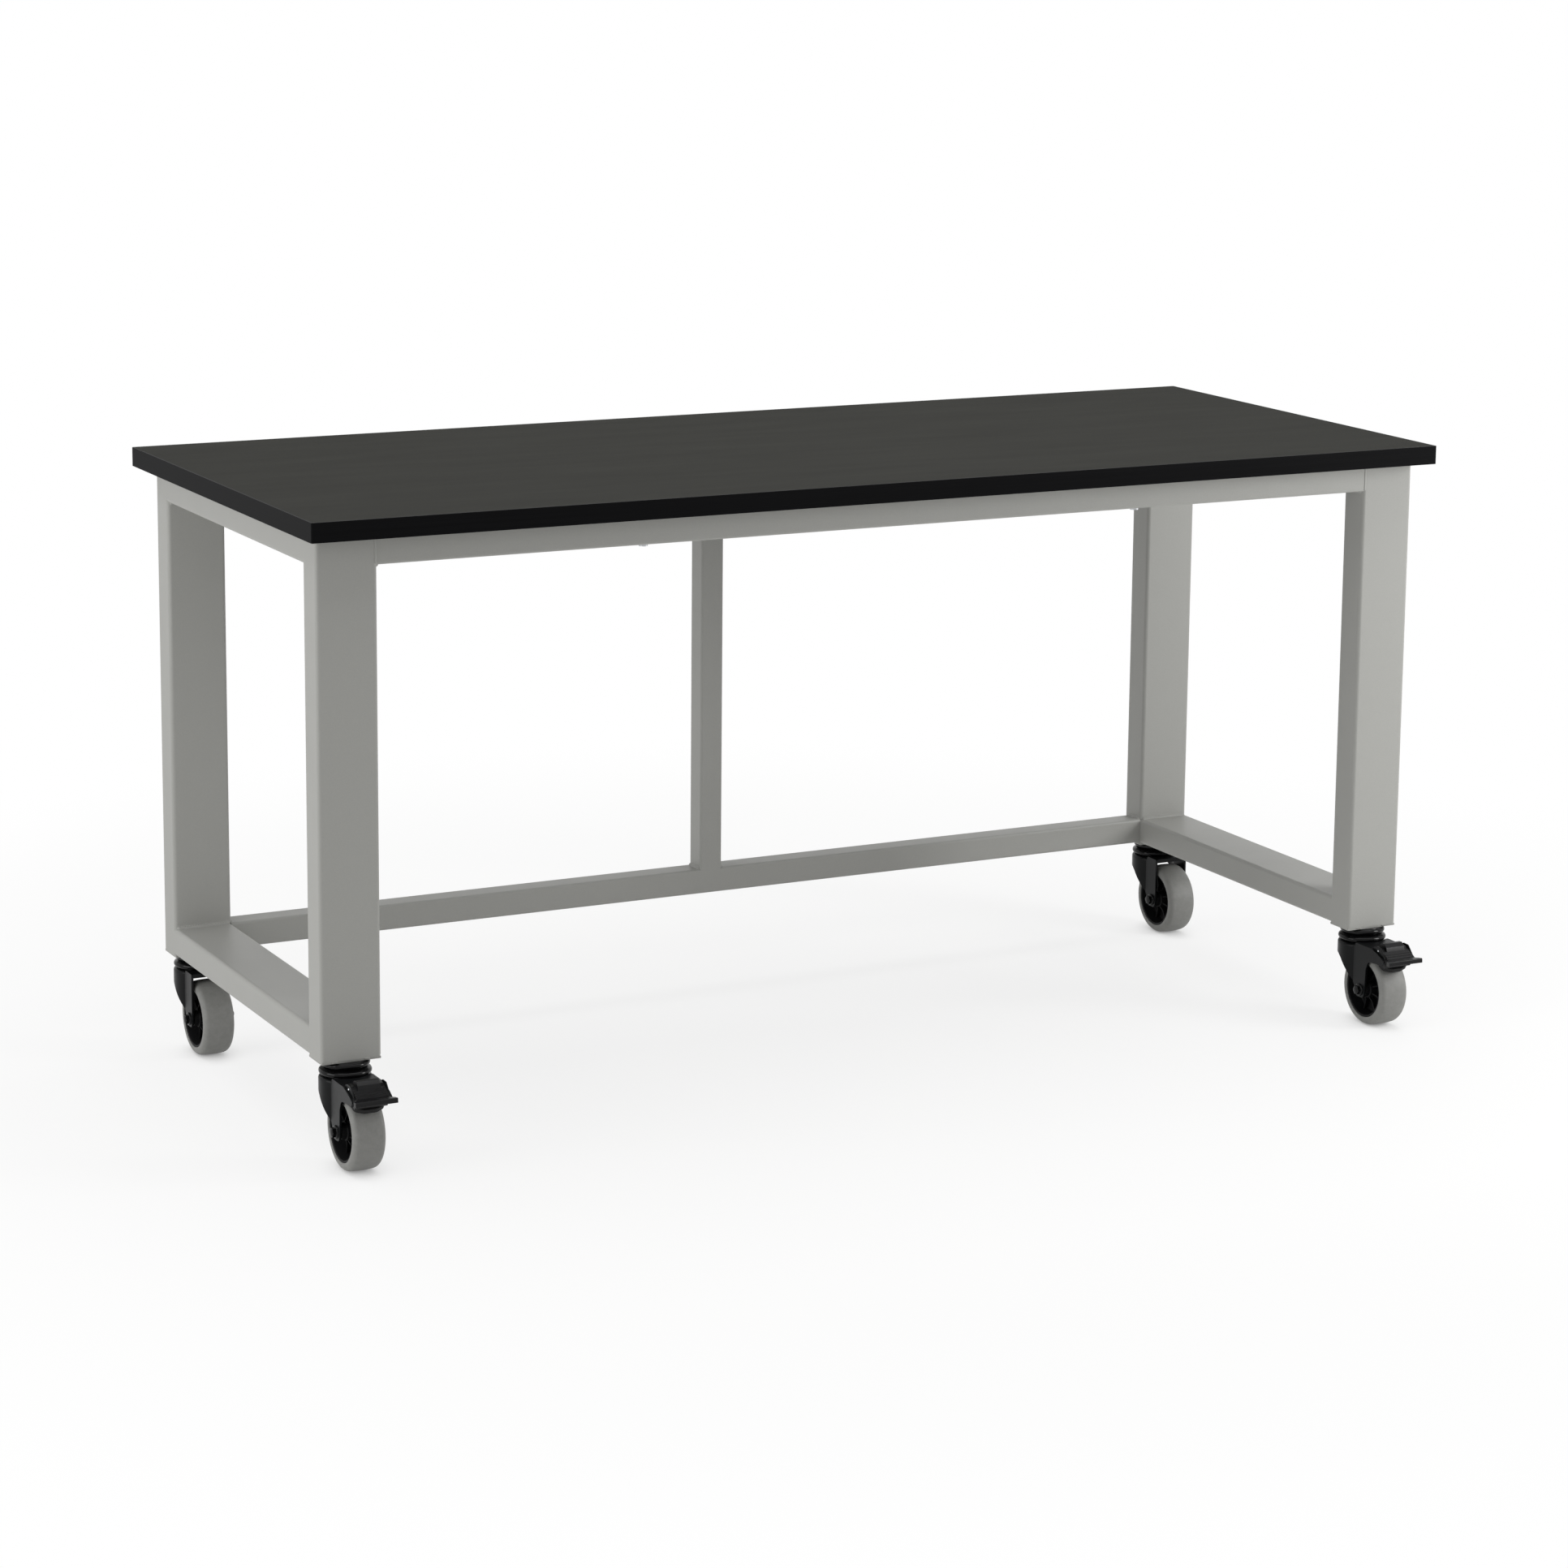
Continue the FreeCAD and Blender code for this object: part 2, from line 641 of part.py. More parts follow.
def axle_set(prefix, place):
    """Axle bolt, lock nut and the bush between the flanks."""
    bolt = new_body(prefix + "_axle_bolt", place)
    head = sketch_on(bolt, "YZ_Plane", "-fork_wide/2 - axle_head_high")
    hexagon(head, "axle_hex_across")
    pad(bolt, head, "axle_head_high", both=False)
    shank = sketch_on(bolt, "YZ_Plane", "-fork_wide/2 - axle_head_high/2")
    disc(shank, "0", "0", "axle_radius")
    pad(bolt, shank, "fork_wide + axle_head_high/2 + axle_nut_high + axle_tip", both=False)
    node(prefix + "_axle_bolt", bolt)
    nut = new_body(prefix + "_axle_nut", place)
    ring = sketch_on(nut, "YZ_Plane", "fork_wide/2")
    hexagon(ring, "axle_hex_across")
    disc(ring, "0", "0", "hole_radius")
    pad(nut, ring, "axle_nut_high", both=False)
    node(prefix + "_axle_nut", nut)
    points = rectangle(("-fork_inside/2", "hole_radius"), ("fork_inside/2", "bush_radius"))
    node(prefix + "_hub_bush", turned(prefix + "_hub_bush", "X_Axis", points, place))


def wheel(prefix, place):
    """Moulded wheel core with ribs, and the tyre on it."""
    label = prefix + "_wheel_core"
    points = [("-hub_long/2", "hub_bore"), ("hub_long/2", "hub_bore"), ("hub_long/2", "hub_radius"),
              ("web_thick/2", "hub_radius"), ("web_thick/2", "rim_inside"), ("rim_width/2", "rim_inside"),
              ("rim_width/2", "core_radius"), ("-rim_width/2", "core_radius"), ("-rim_width/2", "rim_inside"),
              ("-web_thick/2", "rim_inside"), ("-web_thick/2", "hub_radius"), ("-hub_long/2", "hub_radius")]
    body = turned(label, "X_Axis", points, place)
    sketch = sketch_on(body, "YZ_Plane")
    outline(sketch, rectangle(("hub_radius - rib_thick/2", "-rib_thick/2"),
                              ("rim_inside + rib_thick/2", "rib_thick/2")))
    rib = pad(body, sketch, "rib_deep")
    ribs = body.newObject("PartDesign::PolarPattern", label + "_ribs")
    ribs.Originals = [rib]
    ribs.Axis = (next(item for item in body.Origin.OriginFeatures if item.Role == "X_Axis"), [""])
    ribs.Angle = 360
    bind(ribs, "Occurrences", "rib_count")
    body.Tip = ribs
    node(label, body)
    side = "wheel_width/2"
    points = [("-" + side, "core_radius"), (side, "core_radius"),
              (side, "core_radius + tyre_side", ("shoulder_arc", 1)),
              ("tread_half", "tread_edge", ("tread_arc", 1)),
              ("-tread_half", "tread_edge", ("shoulder_arc", 1)), ("-" + side, "core_radius + tyre_side")]
    node(prefix + "_tyre", turned(prefix + "_tyre", "X_Axis", points, place))


def brake(prefix, place):
    """Pedal on its pin, with the shoe that it presses on the tread."""
    pin = turned(prefix + "_pedal_pin", "X_Axis",
                 [("-fork_wide/2 - pin_head_high", "0"), ("-fork_wide/2 - pin_head_high", "pin_head_radius"),
                  ("-fork_wide/2", "pin_head_radius"), ("-fork_wide/2", "pin_radius"),
                  ("fork_wide/2", "pin_radius"), ("fork_wide/2", "pin_head_radius"),
                  ("fork_wide/2 + pin_head_high", "pin_head_radius"), ("fork_wide/2 + pin_head_high", "0")],
                 (place[0], place[1] + " - pivot_forward", "pivot_z"))
    node(prefix + "_pedal_pin", pin)
    # shoe face: its middle, and how far a way along it and a way out of it go
    middle = ("trail + shoe_reach*%s" % SHOE_PLACE_SHARES[0],
              "wheel_radius + shoe_reach*%s" % SHOE_PLACE_SHARES[1])
    slope, lean = SHOE_SLOPE_SHARES

    def shoe_point(along, out):
        """Point of the side view, so far along the shoe's face and so far out of it."""
        return ("%s + (%s)*%s + (%s)*%s" % (middle[0], along, slope, out, lean),
                "%s - (%s)*%s + (%s)*%s" % (middle[1], along, lean, out, slope))

    shoe = new_body(prefix + "_brake_shoe", place + ("0",))
    sketch = sketch_on(shoe, "YZ_Plane")
    half = "shoe_long/2"
    outline(sketch, forward([shoe_point("-" + half, "0"), shoe_point(half, "0"),
                             shoe_point(half, "shoe_thick"), shoe_point("-" + half, "shoe_thick")]))
    pad(shoe, sketch, "shoe_wide")
    node(prefix + "_brake_shoe", shoe)

    pedal = new_body(prefix + "_brake_pedal", place + ("0",))
    lever = sketch_on(pedal, "YZ_Plane")
    rear = "pivot_forward*%s" % PEDAL_REAR_SHARE
    lever_low = "pivot_z - lever_drop"
    lever_high = "pivot_z + lever_rise"
    outline(lever, forward([(rear, lever_low), shoe_point("-" + half, "shoe_thick"),
                            shoe_point(half, "shoe_thick"), ("pedal_start", "lip_top"),
                            ("pedal_start", "pivot_z + lever_drop"),
                            ("pivot_forward + cheek_radius", lever_high), (rear, lever_high)]))
    pad(pedal, lever, "lever_wide")
    tread = sketch_on(pedal, "YZ_Plane")
    start = "pedal_start - tread_notch"
    lip_low = "lip_top - lip_thick"
    outline(tread, forward([(start, "lip_top"), ("lip_reach - lip_thick", lip_low),
                            ("lip_reach", lip_low), ("lip_reach", "lip_top"),
                            ("pedal_start + tread_notch", "pivot_z + lever_drop"),
                            (start, "pivot_z + lever_drop")]))
    pad(pedal, tread, "pedal_wide")
    block = sketch_on(pedal, "YZ_Plane")
    block_front = "pedal_start + tread_notch"
    block_rear = "pivot_forward - cheek_radius"
    outline(block, forward([("pivot_forward", "pivot_z"), (block_front, "pivot_z"),
                            ("pedal_start", "pivot_z + block_step"),
                            ("pedal_start - lip_thick", "pivot_z + block_rise"),
                            (block_rear, "pivot_z + block_step"), (block_rear, "pivot_z")]))
    pad(pedal, block, "block_wide")
    bore = sketch_on(pedal, "YZ_Plane")
    disc(bore, "-pivot_forward", "pivot_z", "pin_radius + pin_fit")
    pocket(pedal, bore, "pedal_wide + 2*overrun")
    node(prefix + "_brake_pedal", pedal)


# Casters: all four alike, with brakes on the front pair
for side, leg_place in SIDES:
    for line, row_place in ROWS:
        prefix = line[0] + side[0]
        spot = (leg_place, row_place)
        axle_spot = (leg_place, row_place + " - trail", "wheel_radius")
        stem_race(prefix + "_stem_race", spot)
        lower_race(prefix + "_lower_race", spot)
        fork(prefix + "_fork", spot, line == "front")
        axle_set(prefix, axle_spot)
        wheel(prefix, axle_spot)
        if line == "front":
            brake(prefix, spot)

doc.recompute()

# Nothing is written unless every object is sound
for thing in doc.Objects:
    if "Invalid" in thing.State or "Error" in thing.State:
        raise RuntimeError("%s did not rebuild" % thing.Label)
for label, thing in nodes.items():
    if thing.Shape.isNull() or not thing.Shape.isValid():
        raise RuntimeError("%s has no sound shape" % label)

os.makedirs("parts", exist_ok=True)
for label, thing in nodes.items():
    thing.Shape.exportStep("parts/%s.step" % label)
print(len(nodes), "pieces written")
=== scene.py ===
"""Dresses the rolling workbench: coated tube frame, laminate top, welds and four casters."""
import math

import bmesh
import bpy
from mathutils import Matrix, Vector


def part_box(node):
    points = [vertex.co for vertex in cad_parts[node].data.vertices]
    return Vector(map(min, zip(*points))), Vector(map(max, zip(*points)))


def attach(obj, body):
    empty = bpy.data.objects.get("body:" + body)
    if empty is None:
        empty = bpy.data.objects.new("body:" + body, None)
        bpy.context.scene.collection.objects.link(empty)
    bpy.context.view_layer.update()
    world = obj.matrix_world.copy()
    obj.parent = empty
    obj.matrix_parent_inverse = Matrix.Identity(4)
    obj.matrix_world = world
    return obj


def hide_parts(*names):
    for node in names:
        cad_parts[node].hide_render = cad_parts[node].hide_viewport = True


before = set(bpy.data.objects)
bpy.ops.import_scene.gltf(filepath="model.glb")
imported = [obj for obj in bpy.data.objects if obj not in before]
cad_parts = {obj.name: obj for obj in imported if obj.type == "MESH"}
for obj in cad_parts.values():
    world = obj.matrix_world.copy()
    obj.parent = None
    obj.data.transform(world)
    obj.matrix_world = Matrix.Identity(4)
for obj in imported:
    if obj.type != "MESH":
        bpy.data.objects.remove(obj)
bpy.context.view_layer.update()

bl_info = {
    "name": "Rolling workbench",
    "version": (1, 0, 0),
    "blender": (4, 5, 0),
    "location": "3D View > Sidebar > Workbench",
    "description": "Builds the visible pieces of a rolling workbench on its packed frame",
    "category": "Object",
}

MM = 0.001
CORNERS = ("fl", "fr", "bl", "br")
BRAKED = ("fl", "fr")


def linear(code):
    """An sRGB hex colour as linear red, green and blue."""
    parts = [int(code[place:place + 2], 16) / 255 for place in (1, 3, 5)]
    return tuple(part / 12.92 if part <= 0.04045 else ((part + 0.055) / 1.055) ** 2.4 for part in parts)


def colour_prop(name, code, about):
    """A colour that a user can change, given as an sRGB hex value."""
    return bpy.props.FloatVectorProperty(name=name, description=about, subtype="COLOR", size=3,
                                         min=0, max=1, default=linear(code))


def length_prop(name, millimetres, about):
    """A length that a user can change, given in millimetres."""
    return bpy.props.FloatProperty(name=name, description=about, subtype="DISTANCE", unit="LENGTH",
                                   default=millimetres * MM)


def box_mm(node):
    """Low and high corners of a piece of the frame, in millimetres."""
    return [Vector(corner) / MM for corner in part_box(node)]


# Sizes read from the frame, in millimetres
TYRE_LOW, TYRE_HIGH = box_mm("bl_tyre")
RACE_LOW, RACE_HIGH = box_mm("bl_lower_race")
BUSH_LOW, BUSH_HIGH = box_mm("bl_hub_bush")
CROWN_TOP = box_mm("bl_fork")[1].z
PLATE_UNDER = box_mm("base_plates")[0].z
RACE_TOP = RACE_HIGH.z
WHEEL_RADIUS = (TYRE_HIGH.z - TYRE_LOW.z) / 2
WHEEL_WIDTH = TYRE_HIGH.x - TYRE_LOW.x
# Room between a fork's flanks, which the bush fills
INSIDE = BUSH_HIGH.x - BUSH_LOW.x
# How far a wheel's axle stands in front of its stem
TRAIL = ((RACE_LOW.y + RACE_HIGH.y) - (TYRE_LOW.y + TYRE_HIGH.y)) / 2
# Height of a tyre's section from the core's seat to the tread
TYRE_DEEP = 13.0
TYRE_SEAT = WHEEL_RADIUS - TYRE_DEEP
# Room between the two races
RACE_GAP = 0.3
RIBS = 8
RIB_THICK = 2.2
# Corner radius of the frame's tubes
TUBE_CORNER = 5.5
# Axis of a brake pedal's pin: distance in front of the stem, and height
PEDAL_PIVOT = (84.0, CROWN_TOP + 3.5)


def stem_spot(prefix):
    """Floor point under a caster's stem, in metres."""
    low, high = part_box(prefix + "_lower_race")
    return Vector(((low[0] + high[0]) / 2, (low[1] + high[1]) / 2, 0))


class WorkbenchColours(bpy.types.PropertyGroup):
    """Colours of the finishes."""
    coat: colour_prop("Coat", "#a4a4a0", "Powder coat on the frame")
    laminate: colour_prop("Laminate", "#2d2d2a", "Top face of the worktop")
    band: colour_prop("Edge band", "#111112", "Band round the worktop")
    board: colour_prop("Board", "#a98c66", "Particle core of the worktop")
    fork: colour_prop("Fork", "#0f1011", "Black coat on the forks")
    pedal: colour_prop("Pedal", "#121213", "Black coat on the brake pedals")
    race: colour_prop("Races", "#0c0c0d", "Gloss black of the swivel races")
    core: colour_prop("Wheel core", "#0c0c0d", "Moulded wheel cores")
    tread: colour_prop("Tread", "#868683", "Rubber of the tyres")
    shoe: colour_prop("Brake shoe", "#101010", "Rubber of the brake shoes")
    zinc: colour_prop("Zinc", "#b4b6b8", "Plated screws, bushes and nuts")
    floor: colour_prop("Floor", "#f4f4f3", "Studio floor")


class WorkbenchSizes(bpy.types.PropertyGroup):
    """Sizes of the details that the frame doesn't hold."""
    bead: length_prop("Weld bead", 4.2, "Leg of the fillet weld beads")
    seam: length_prop("Weld seam", 1.6, "Half the width of the flat seam between a leg and an apron")
    ripple: length_prop("Weld ripple", 2.6, "Spacing of the ripples along a bead")
    sheet: length_prop("Fork sheet", 3.5, "Thickness of the pressed fork")
    skirt: length_prop("Fork skirt", 37.5, "Outer radius of the round top of the fork")
    bend: length_prop("Fork bend", 4.0, "Outer radius where the fork bends down from its crown")
    deck: length_prop("Fork deck", 4.0, "Rise of the fork's deck in front of the races")
    shoulder: length_prop("Tyre shoulder", 8.5, "Radius between a tyre's side and its tread")
    soft_edge: length_prop("Edge softness", 0.6, "Bevel on pressed and moulded edges")


def sizes():
    """The scene's detail sizes in millimetres."""
    group = bpy.context.scene.workbench_sizes
    return {name: getattr(group, name) / MM for name in group.__annotations__}


def colour(name):
    """One of the scene's finish colours with full alpha."""
    return (*getattr(bpy.context.scene.workbench_colours, name), 1.0)


# Node trees


def add(tree, kind, inputs=None, **settings):
    """Add one node; an input is a plain value or the output socket that feeds it."""
    made = tree.nodes.new(kind)
    for name, setting in settings.items():
        setattr(made, name, setting)
    for name, source in (inputs or {}).items():
        if isinstance(source, bpy.types.NodeSocket):
            tree.links.new(source, made.inputs[name])
        else:
            made.inputs[name].default_value = source
    return made


def shader_of(name, roughness, **values):
    """New material with its main shader set up; returns the material, its tree and the shader."""
    material = bpy.data.materials.new(name)
    material.use_nodes = True
    tree = material.node_tree
    shader = tree.nodes["Principled BSDF"]
    shader.inputs["Roughness"].default_value = roughness
    for key, setting in values.items():
        shader.inputs[key.replace("_", " ")].default_value = setting
    return material, tree, shader


def grain(tree, size_mm, detail=2.0, roughness=0.5):
    """Even noise whose grains are about size_mm across, by object place."""
    place = add(tree, "ShaderNodeTexCoord")
    return add(tree, "ShaderNodeTexNoise", {"Vector": place.outputs["Object"], "Scale": 1 / (size_mm * MM),
                                            "Detail": detail, "Roughness": roughness})


def drawn_out(tree, sizes_mm, detail):
    """Noise whose grains are drawn out to so many millimetres along X, Y and Z."""
    place = add(tree, "ShaderNodeTexCoord")
    drawn = add(tree, "ShaderNodeMapping", {"Vector": place.outputs["Object"],
                                            "Scale": tuple(1 / (size * MM) for size in sizes_mm)})
    return add(tree, "ShaderNodeTexNoise",
               {"Vector": drawn.outputs["Vector"], "Scale": 1.0, "Detail": detail})


def mixed(tree, factor, first, second, low=0.3, high=0.7):
    """Colour that runs from first to second as the factor runs from low to high."""
    spread = add(tree, "ShaderNodeMapRange", {"Value": factor, "From Min": low, "From Max": high})
    blend = add(tree, "ShaderNodeMixRGB",
                {"Fac": spread.outputs["Result"], "Color1": first, "Color2": second})
    return blend.outputs["Color"]


def shade(code, share):
    """A colour lightened or darkened by a share of itself."""
    return tuple(min(1.0, part * (1 + share)) for part in code[:3]) + (1.0,)


def dress(tree, shader, tint, height, depth_mm, strength=0.5):
    """Give a shader its tint, and a relief of so many millimetres from a height output."""
    tree.links.new(tint, shader.inputs["Base Color"])
    bump = add(tree, "ShaderNodeBump", {"Height": height, "Distance": depth_mm * MM, "Strength": strength})
    tree.links.new(bump.outputs["Normal"], shader.inputs["Normal"])


def powder_coat():
    """Polyester powder coat, sprayed and baked: satin, with a faint orange peel that softens highlights."""
    material, tree, shader = shader_of("satin_powder_coat", 0.45, IOR=1.5, Specular_IOR_Level=0.3)
    base = colour("coat")
    peel = grain(tree, 2.2, detail=1.0)
    fleck = grain(tree, 0.7, detail=3.0)
    tint = mixed(tree, fleck.outputs["Fac"], shade(base, -0.05), shade(base, 0.05))
    patch = grain(tree, 60.0)
    gloss = add(tree, "ShaderNodeMapRange", {"Value": patch.outputs["Fac"], "To Min": 0.38, "To Max": 0.48})
    tree.links.new(gloss.outputs["Result"], shader.inputs["Roughness"])
    dress(tree, shader, tint, peel.outputs["Fac"], 0.05, 0.35)
    return material


def matt_laminate():
    """High-pressure laminate, pressed against a matt plate: charcoal with a fine even speckle."""
    material, tree, shader = shader_of("charcoal_laminate", 0.8, IOR=1.45, Specular_IOR_Level=0.06)
    base = colour("laminate")
    # the real speckle is about 0.3 mm, drawn at 1.2 mm so that the render can show it
    speck = grain(tree, 1.2, detail=4.0, roughness=0.7)
    worn = mixed(tree, speck.outputs["Fac"], shade(base, -0.26), shade(base, 0.06))
    fresh = mixed(tree, speck.outputs["Fac"], shade(base, -0.08), shade(base, 0.24))
    # wiping leaves faint streaks along the top, about 250 mm long and 40 mm apart
    streaks = drawn_out(tree, (250, 40, 1000), 4.0)
    tint = mixed(tree, streaks.outputs["Fac"], worn, fresh)
    dress(tree, shader, tint, speck.outputs["Fac"], 0.04, 0.3)
    return material


def edge_plastic():
    """ABS edge band, extruded and trimmed: near black, satin, with faint draw lines along it."""
    material, tree, shader = shader_of("black_abs_band", 0.45, IOR=1.52, Specular_IOR_Level=0.02)
    base = colour("band")
    # draw lines are 0.6 mm apart in height and half a metre long
    lines = drawn_out(tree, (500, 500, 0.625), 2.0)
    tint = mixed(tree, lines.outputs["Fac"], shade(base, -0.15), shade(base, 0.2))
    dress(tree, shader, tint, lines.outputs["Fac"], 0.03, 0.25)
    return material


def raw_board():
    """Particle board, pressed chips: tan flakes of a few millimetres, dull."""
    material, tree, shader = shader_of("pressed_chip_board", 0.85)
    base = colour("board")
    place = add(tree, "ShaderNodeTexCoord")
    chips = add(tree, "ShaderNodeTexVoronoi", {"Vector": place.outputs["Object"], "Scale": 1 / (3.0 * MM)})
    tint = mixed(tree, chips.outputs["Distance"], shade(base, 0.15), shade(base, -0.3), 0.1, 0.8)
    dress(tree, shader, tint, chips.outputs["Distance"], 0.2)
    return material


def black_coat(name, tone, roughness, peel_mm, shine):
    """Black electro-coat over pressed steel: thin and glossy, with the steel's faint waviness under it."""
    material, tree, shader = shader_of(name, roughness, IOR=1.5, Specular_IOR_Level=shine)
    base = colour(tone)
    wave = grain(tree, peel_mm, detail=2.0)
    dust = grain(tree, 14.0, detail=5.0, roughness=0.7)
    tint = mixed(tree, dust.outputs["Fac"], shade(base, -0.1), shade(base, 0.25), 0.35, 0.75)
    gloss = add(tree, "ShaderNodeMapRange", {"Value": dust.outputs["Fac"], "To Min": roughness * 0.85,
                                             "To Max": roughness * 1.25})
    tree.links.new(gloss.outputs["Result"], shader.inputs["Roughness"])
    dress(tree, shader, tint, wave.outputs["Fac"], 0.06, 0.25)
    return material


def moulded_core():
    """Polypropylene, injection moulded: near black with a soft sheen and a fine spark-eroded grain."""
    material, tree, shader = shader_of("moulded_polypropylene", 0.5, IOR=1.49, Specular_IOR_Level=0.12)
    base = colour("core")
    # the real grain is about 0.1 mm, drawn at 0.6 mm so that it can show
    spark = grain(tree, 0.6, detail=3.0)
    tint = mixed(tree, spark.outputs["Fac"], shade(base, -0.1), shade(base, 0.3))
    dress(tree, shader, tint, spark.outputs["Fac"], 0.03, 0.4)
    return material


def grey_rubber():
    """Thermoplastic rubber, moulded over the core: non-marking grey, matt, slightly scuffed by rolling."""
    material, tree, shader = shader_of("moulded_grey_rubber", 0.5, IOR=1.5, Specular_IOR_Level=0.35)
    base = colour("tread")
    scuff = grain(tree, 9.0, detail=6.0, roughness=0.75)
    # the mould leaves a grain of about 0.2 mm, drawn at 0.5 mm so that it can show
    fine = grain(tree, 0.5, detail=2.0)
    tint = mixed(tree, scuff.outputs["Fac"], shade(base, -0.1), shade(base, 0.07))
    dress(tree, shader, tint, fine.outputs["Fac"], 0.04, 0.3)
    return material


def black_rubber():
    """Moulded nitrile rubber: black and dull."""
    material, tree, shader = shader_of("black_nitrile_rubber", 0.7, IOR=1.52, Specular_IOR_Level=0.25)
    base = colour("shoe")
    # the mould leaves a grain of about 0.2 mm, drawn at 0.8 mm so that it can show
    fine = grain(tree, 0.8, detail=3.0)
    tint = mixed(tree, fine.outputs["Fac"], shade(base, -0.2), shade(base, 0.3))
    dress(tree, shader, tint, fine.outputs["Fac"], 0.05, 0.5)
    return material


def zinc_plate():
    """Steel, cold headed and zinc plated: bright with fine spangle and soft highlights."""
    material, tree, shader = shader_of("bright_zinc_plate", 0.3, Metallic=1.0)
    base = colour("zinc")
    # the plating's spangle is under 1 mm, drawn at 1.5 mm so that it can show
    spangle = grain(tree, 1.5, detail=3.0)
    tint = mixed(tree, spangle.outputs["Fac"], shade(base, -0.15), shade(base, 0.05))
    dress(tree, shader, tint, spangle.outputs["Fac"], 0.02, 0.3)
    return material


FINISHES = {}


def make_finishes():
    """Make every material once."""
    FINISHES.update(coat=powder_coat(), laminate=matt_laminate(), band=edge_plastic(), board=raw_board(),
                    fork=black_coat("black_electro_coat", "fork", 0.3, 5.0, 0.12),
                    pedal=black_coat("black_pedal_coat", "pedal", 0.3, 4.0, 0.18),
                    race=black_coat("gloss_black_coat", "race", 0.12, 8.0, 0.16),
                    core=moulded_core(), tread=grey_rubber(), shoe=black_rubber(), zinc=zinc_plate())


def paint_node(name, finish):
    """Give a piece that is carried over from the frame its finish."""
    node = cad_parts[name]
    node.data.materials.clear()
    node.data.materials.append(FINISHES[finish])


# Meshes, in millimetres from the floor point under a caster's stem: X across, Y to the back, Z up


def soft_outline(corners, steps=6):
    """Outline points from (across, up, radius) corners, each corner rounded by its own arc."""
    points = []
    for index, (across, up, radius) in enumerate(corners):
        here = Vector((across, up))
        before = Vector(corners[index - 1][:2]) - here
        after = Vector(corners[(index + 1) % len(corners)][:2]) - here
        half = before.angle(after) / 2
        if radius <= 0 or abs(math.pi / 2 - half) < 0.01:
            points.append(here)
            continue
        reach = min(radius / math.tan(half), before.length * 0.49, after.length * 0.49)
        radius = reach * math.tan(half)
        centre = here + (before.normalized() + after.normalized()).normalized() * (radius / math.sin(half))
        start = here + before.normalized() * reach - centre
        turn = start.angle_signed(here + after.normalized() * reach - centre)
        for step in range(steps + 1):
            angle = -turn * step / steps
            points.append(centre + Vector((start.x * math.cos(angle) - start.y * math.sin(angle),
                                           start.x * math.sin(angle) + start.y * math.cos(angle))))
    return points


def close_between(bm, first, last):
    """Close the body between two outlines of as many points."""
    rings = [[bm.verts.new(place) for place in outline] for outline in (first, last)]
    bm.faces.new(rings[0])
    bm.faces.new(list(reversed(rings[1])))
    for index in range(len(rings[0])):
        after = (index + 1) % len(rings[0])
        bm.faces.new((rings[0][after], rings[0][index], rings[1][index], rings[1][after]))


def prism(bm, points, low, high, lay):
    """Closed prism of an outline between two depths; lay turns (across, up, depth) into a place."""
    close_between(bm, *[[lay(across, up, depth) for across, up in points] for depth in (low, high)])


def level_at(pairs, place):
    """Value at a place on the line through (place, value) pairs; past the last pair it stays level."""
    for (near, first), (far, second) in zip(pairs, pairs[1:]):
        if place <= far:
            return first + (second - first) * (place - near) / (far - near)
    return pairs[-1][1]


def slab(bm, points, wings):
    """Prism of a side outline whose half width follows the wings, given as (forward, half width) pairs."""
    close_between(bm, *[[side_on(forward, up, side * level_at(wings, forward)) for forward, up in points]
                        for side in (-1, 1)])


def side_on(forward, up, across):
    """Lay for outlines seen from the side, given as (forward, up)."""
    return Vector((across, -forward, up))


def lathe(bm, profile, lay, steps=96):
    """Turned solid from (along, radius) points; ends on the axis close to a point."""
    rings = []
    for along, radius in profile:
        if radius < 1e-6:
            rings.append([bm.verts.new(lay(along, 0.0, 0.0))])
            continue
        rings.append([bm.verts.new(lay(along, radius, 2 * math.pi * step / steps)) for step in range(steps)])
    for first, second in zip(rings, rings[1:]):
        for step in range(steps):
            after = (step + 1) % steps
            corners = [first[step % len(first)], first[after % len(first)],
                       second[after % len(second)], second[step % len(second)]]
            kept = [vert for place, vert in enumerate(corners) if vert not in corners[:place]]
            bm.faces.new(kept)
    return rings


def close_lathe(bm, rings):
    """Join the last ring of a hollow turned solid to its first."""
    first, last = rings[0], rings[-1]
    for step in range(len(first)):
        after = (step + 1) % len(first)
        bm.faces.new((last[step], last[after], first[after], first[step]))


def upright(origin=(0.0, 0.0, 0.0)):
    """Lay for pieces turned about a vertical axis."""
    return lambda along, radius, angle: Vector(origin) + Vector((radius * math.cos(angle),
                                                                 radius * math.sin(angle), along))


def crosswise(origin):
    """Lay for pieces turned about an axis along X."""
    return lambda along, radius, angle: Vector(origin) + Vector((along, radius * math.cos(angle),
                                                                 radius * math.sin(angle)))


def spoke(centre, turn, way):
    """Lay for a rib's outline, given as (along, radius), at an angle round a wheel and on one side of it."""
    return lambda along, radius, offset: Vector(centre) + Vector(
        (along * way, radius * math.cos(turn) - offset * math.sin(turn),
         radius * math.sin(turn) + offset * math.cos(turn)))


def arc_points(centre, radius, start, end, steps=8):
    """Points (along, radius) on an arc, angles in degrees from the along axis."""
    points = []
    for step in range(steps + 1):
        angle = math.radians(start + (end - start) * step / steps)
        points.append((centre[0] + radius * math.cos(angle), centre[1] + radius * math.sin(angle)))
    return points


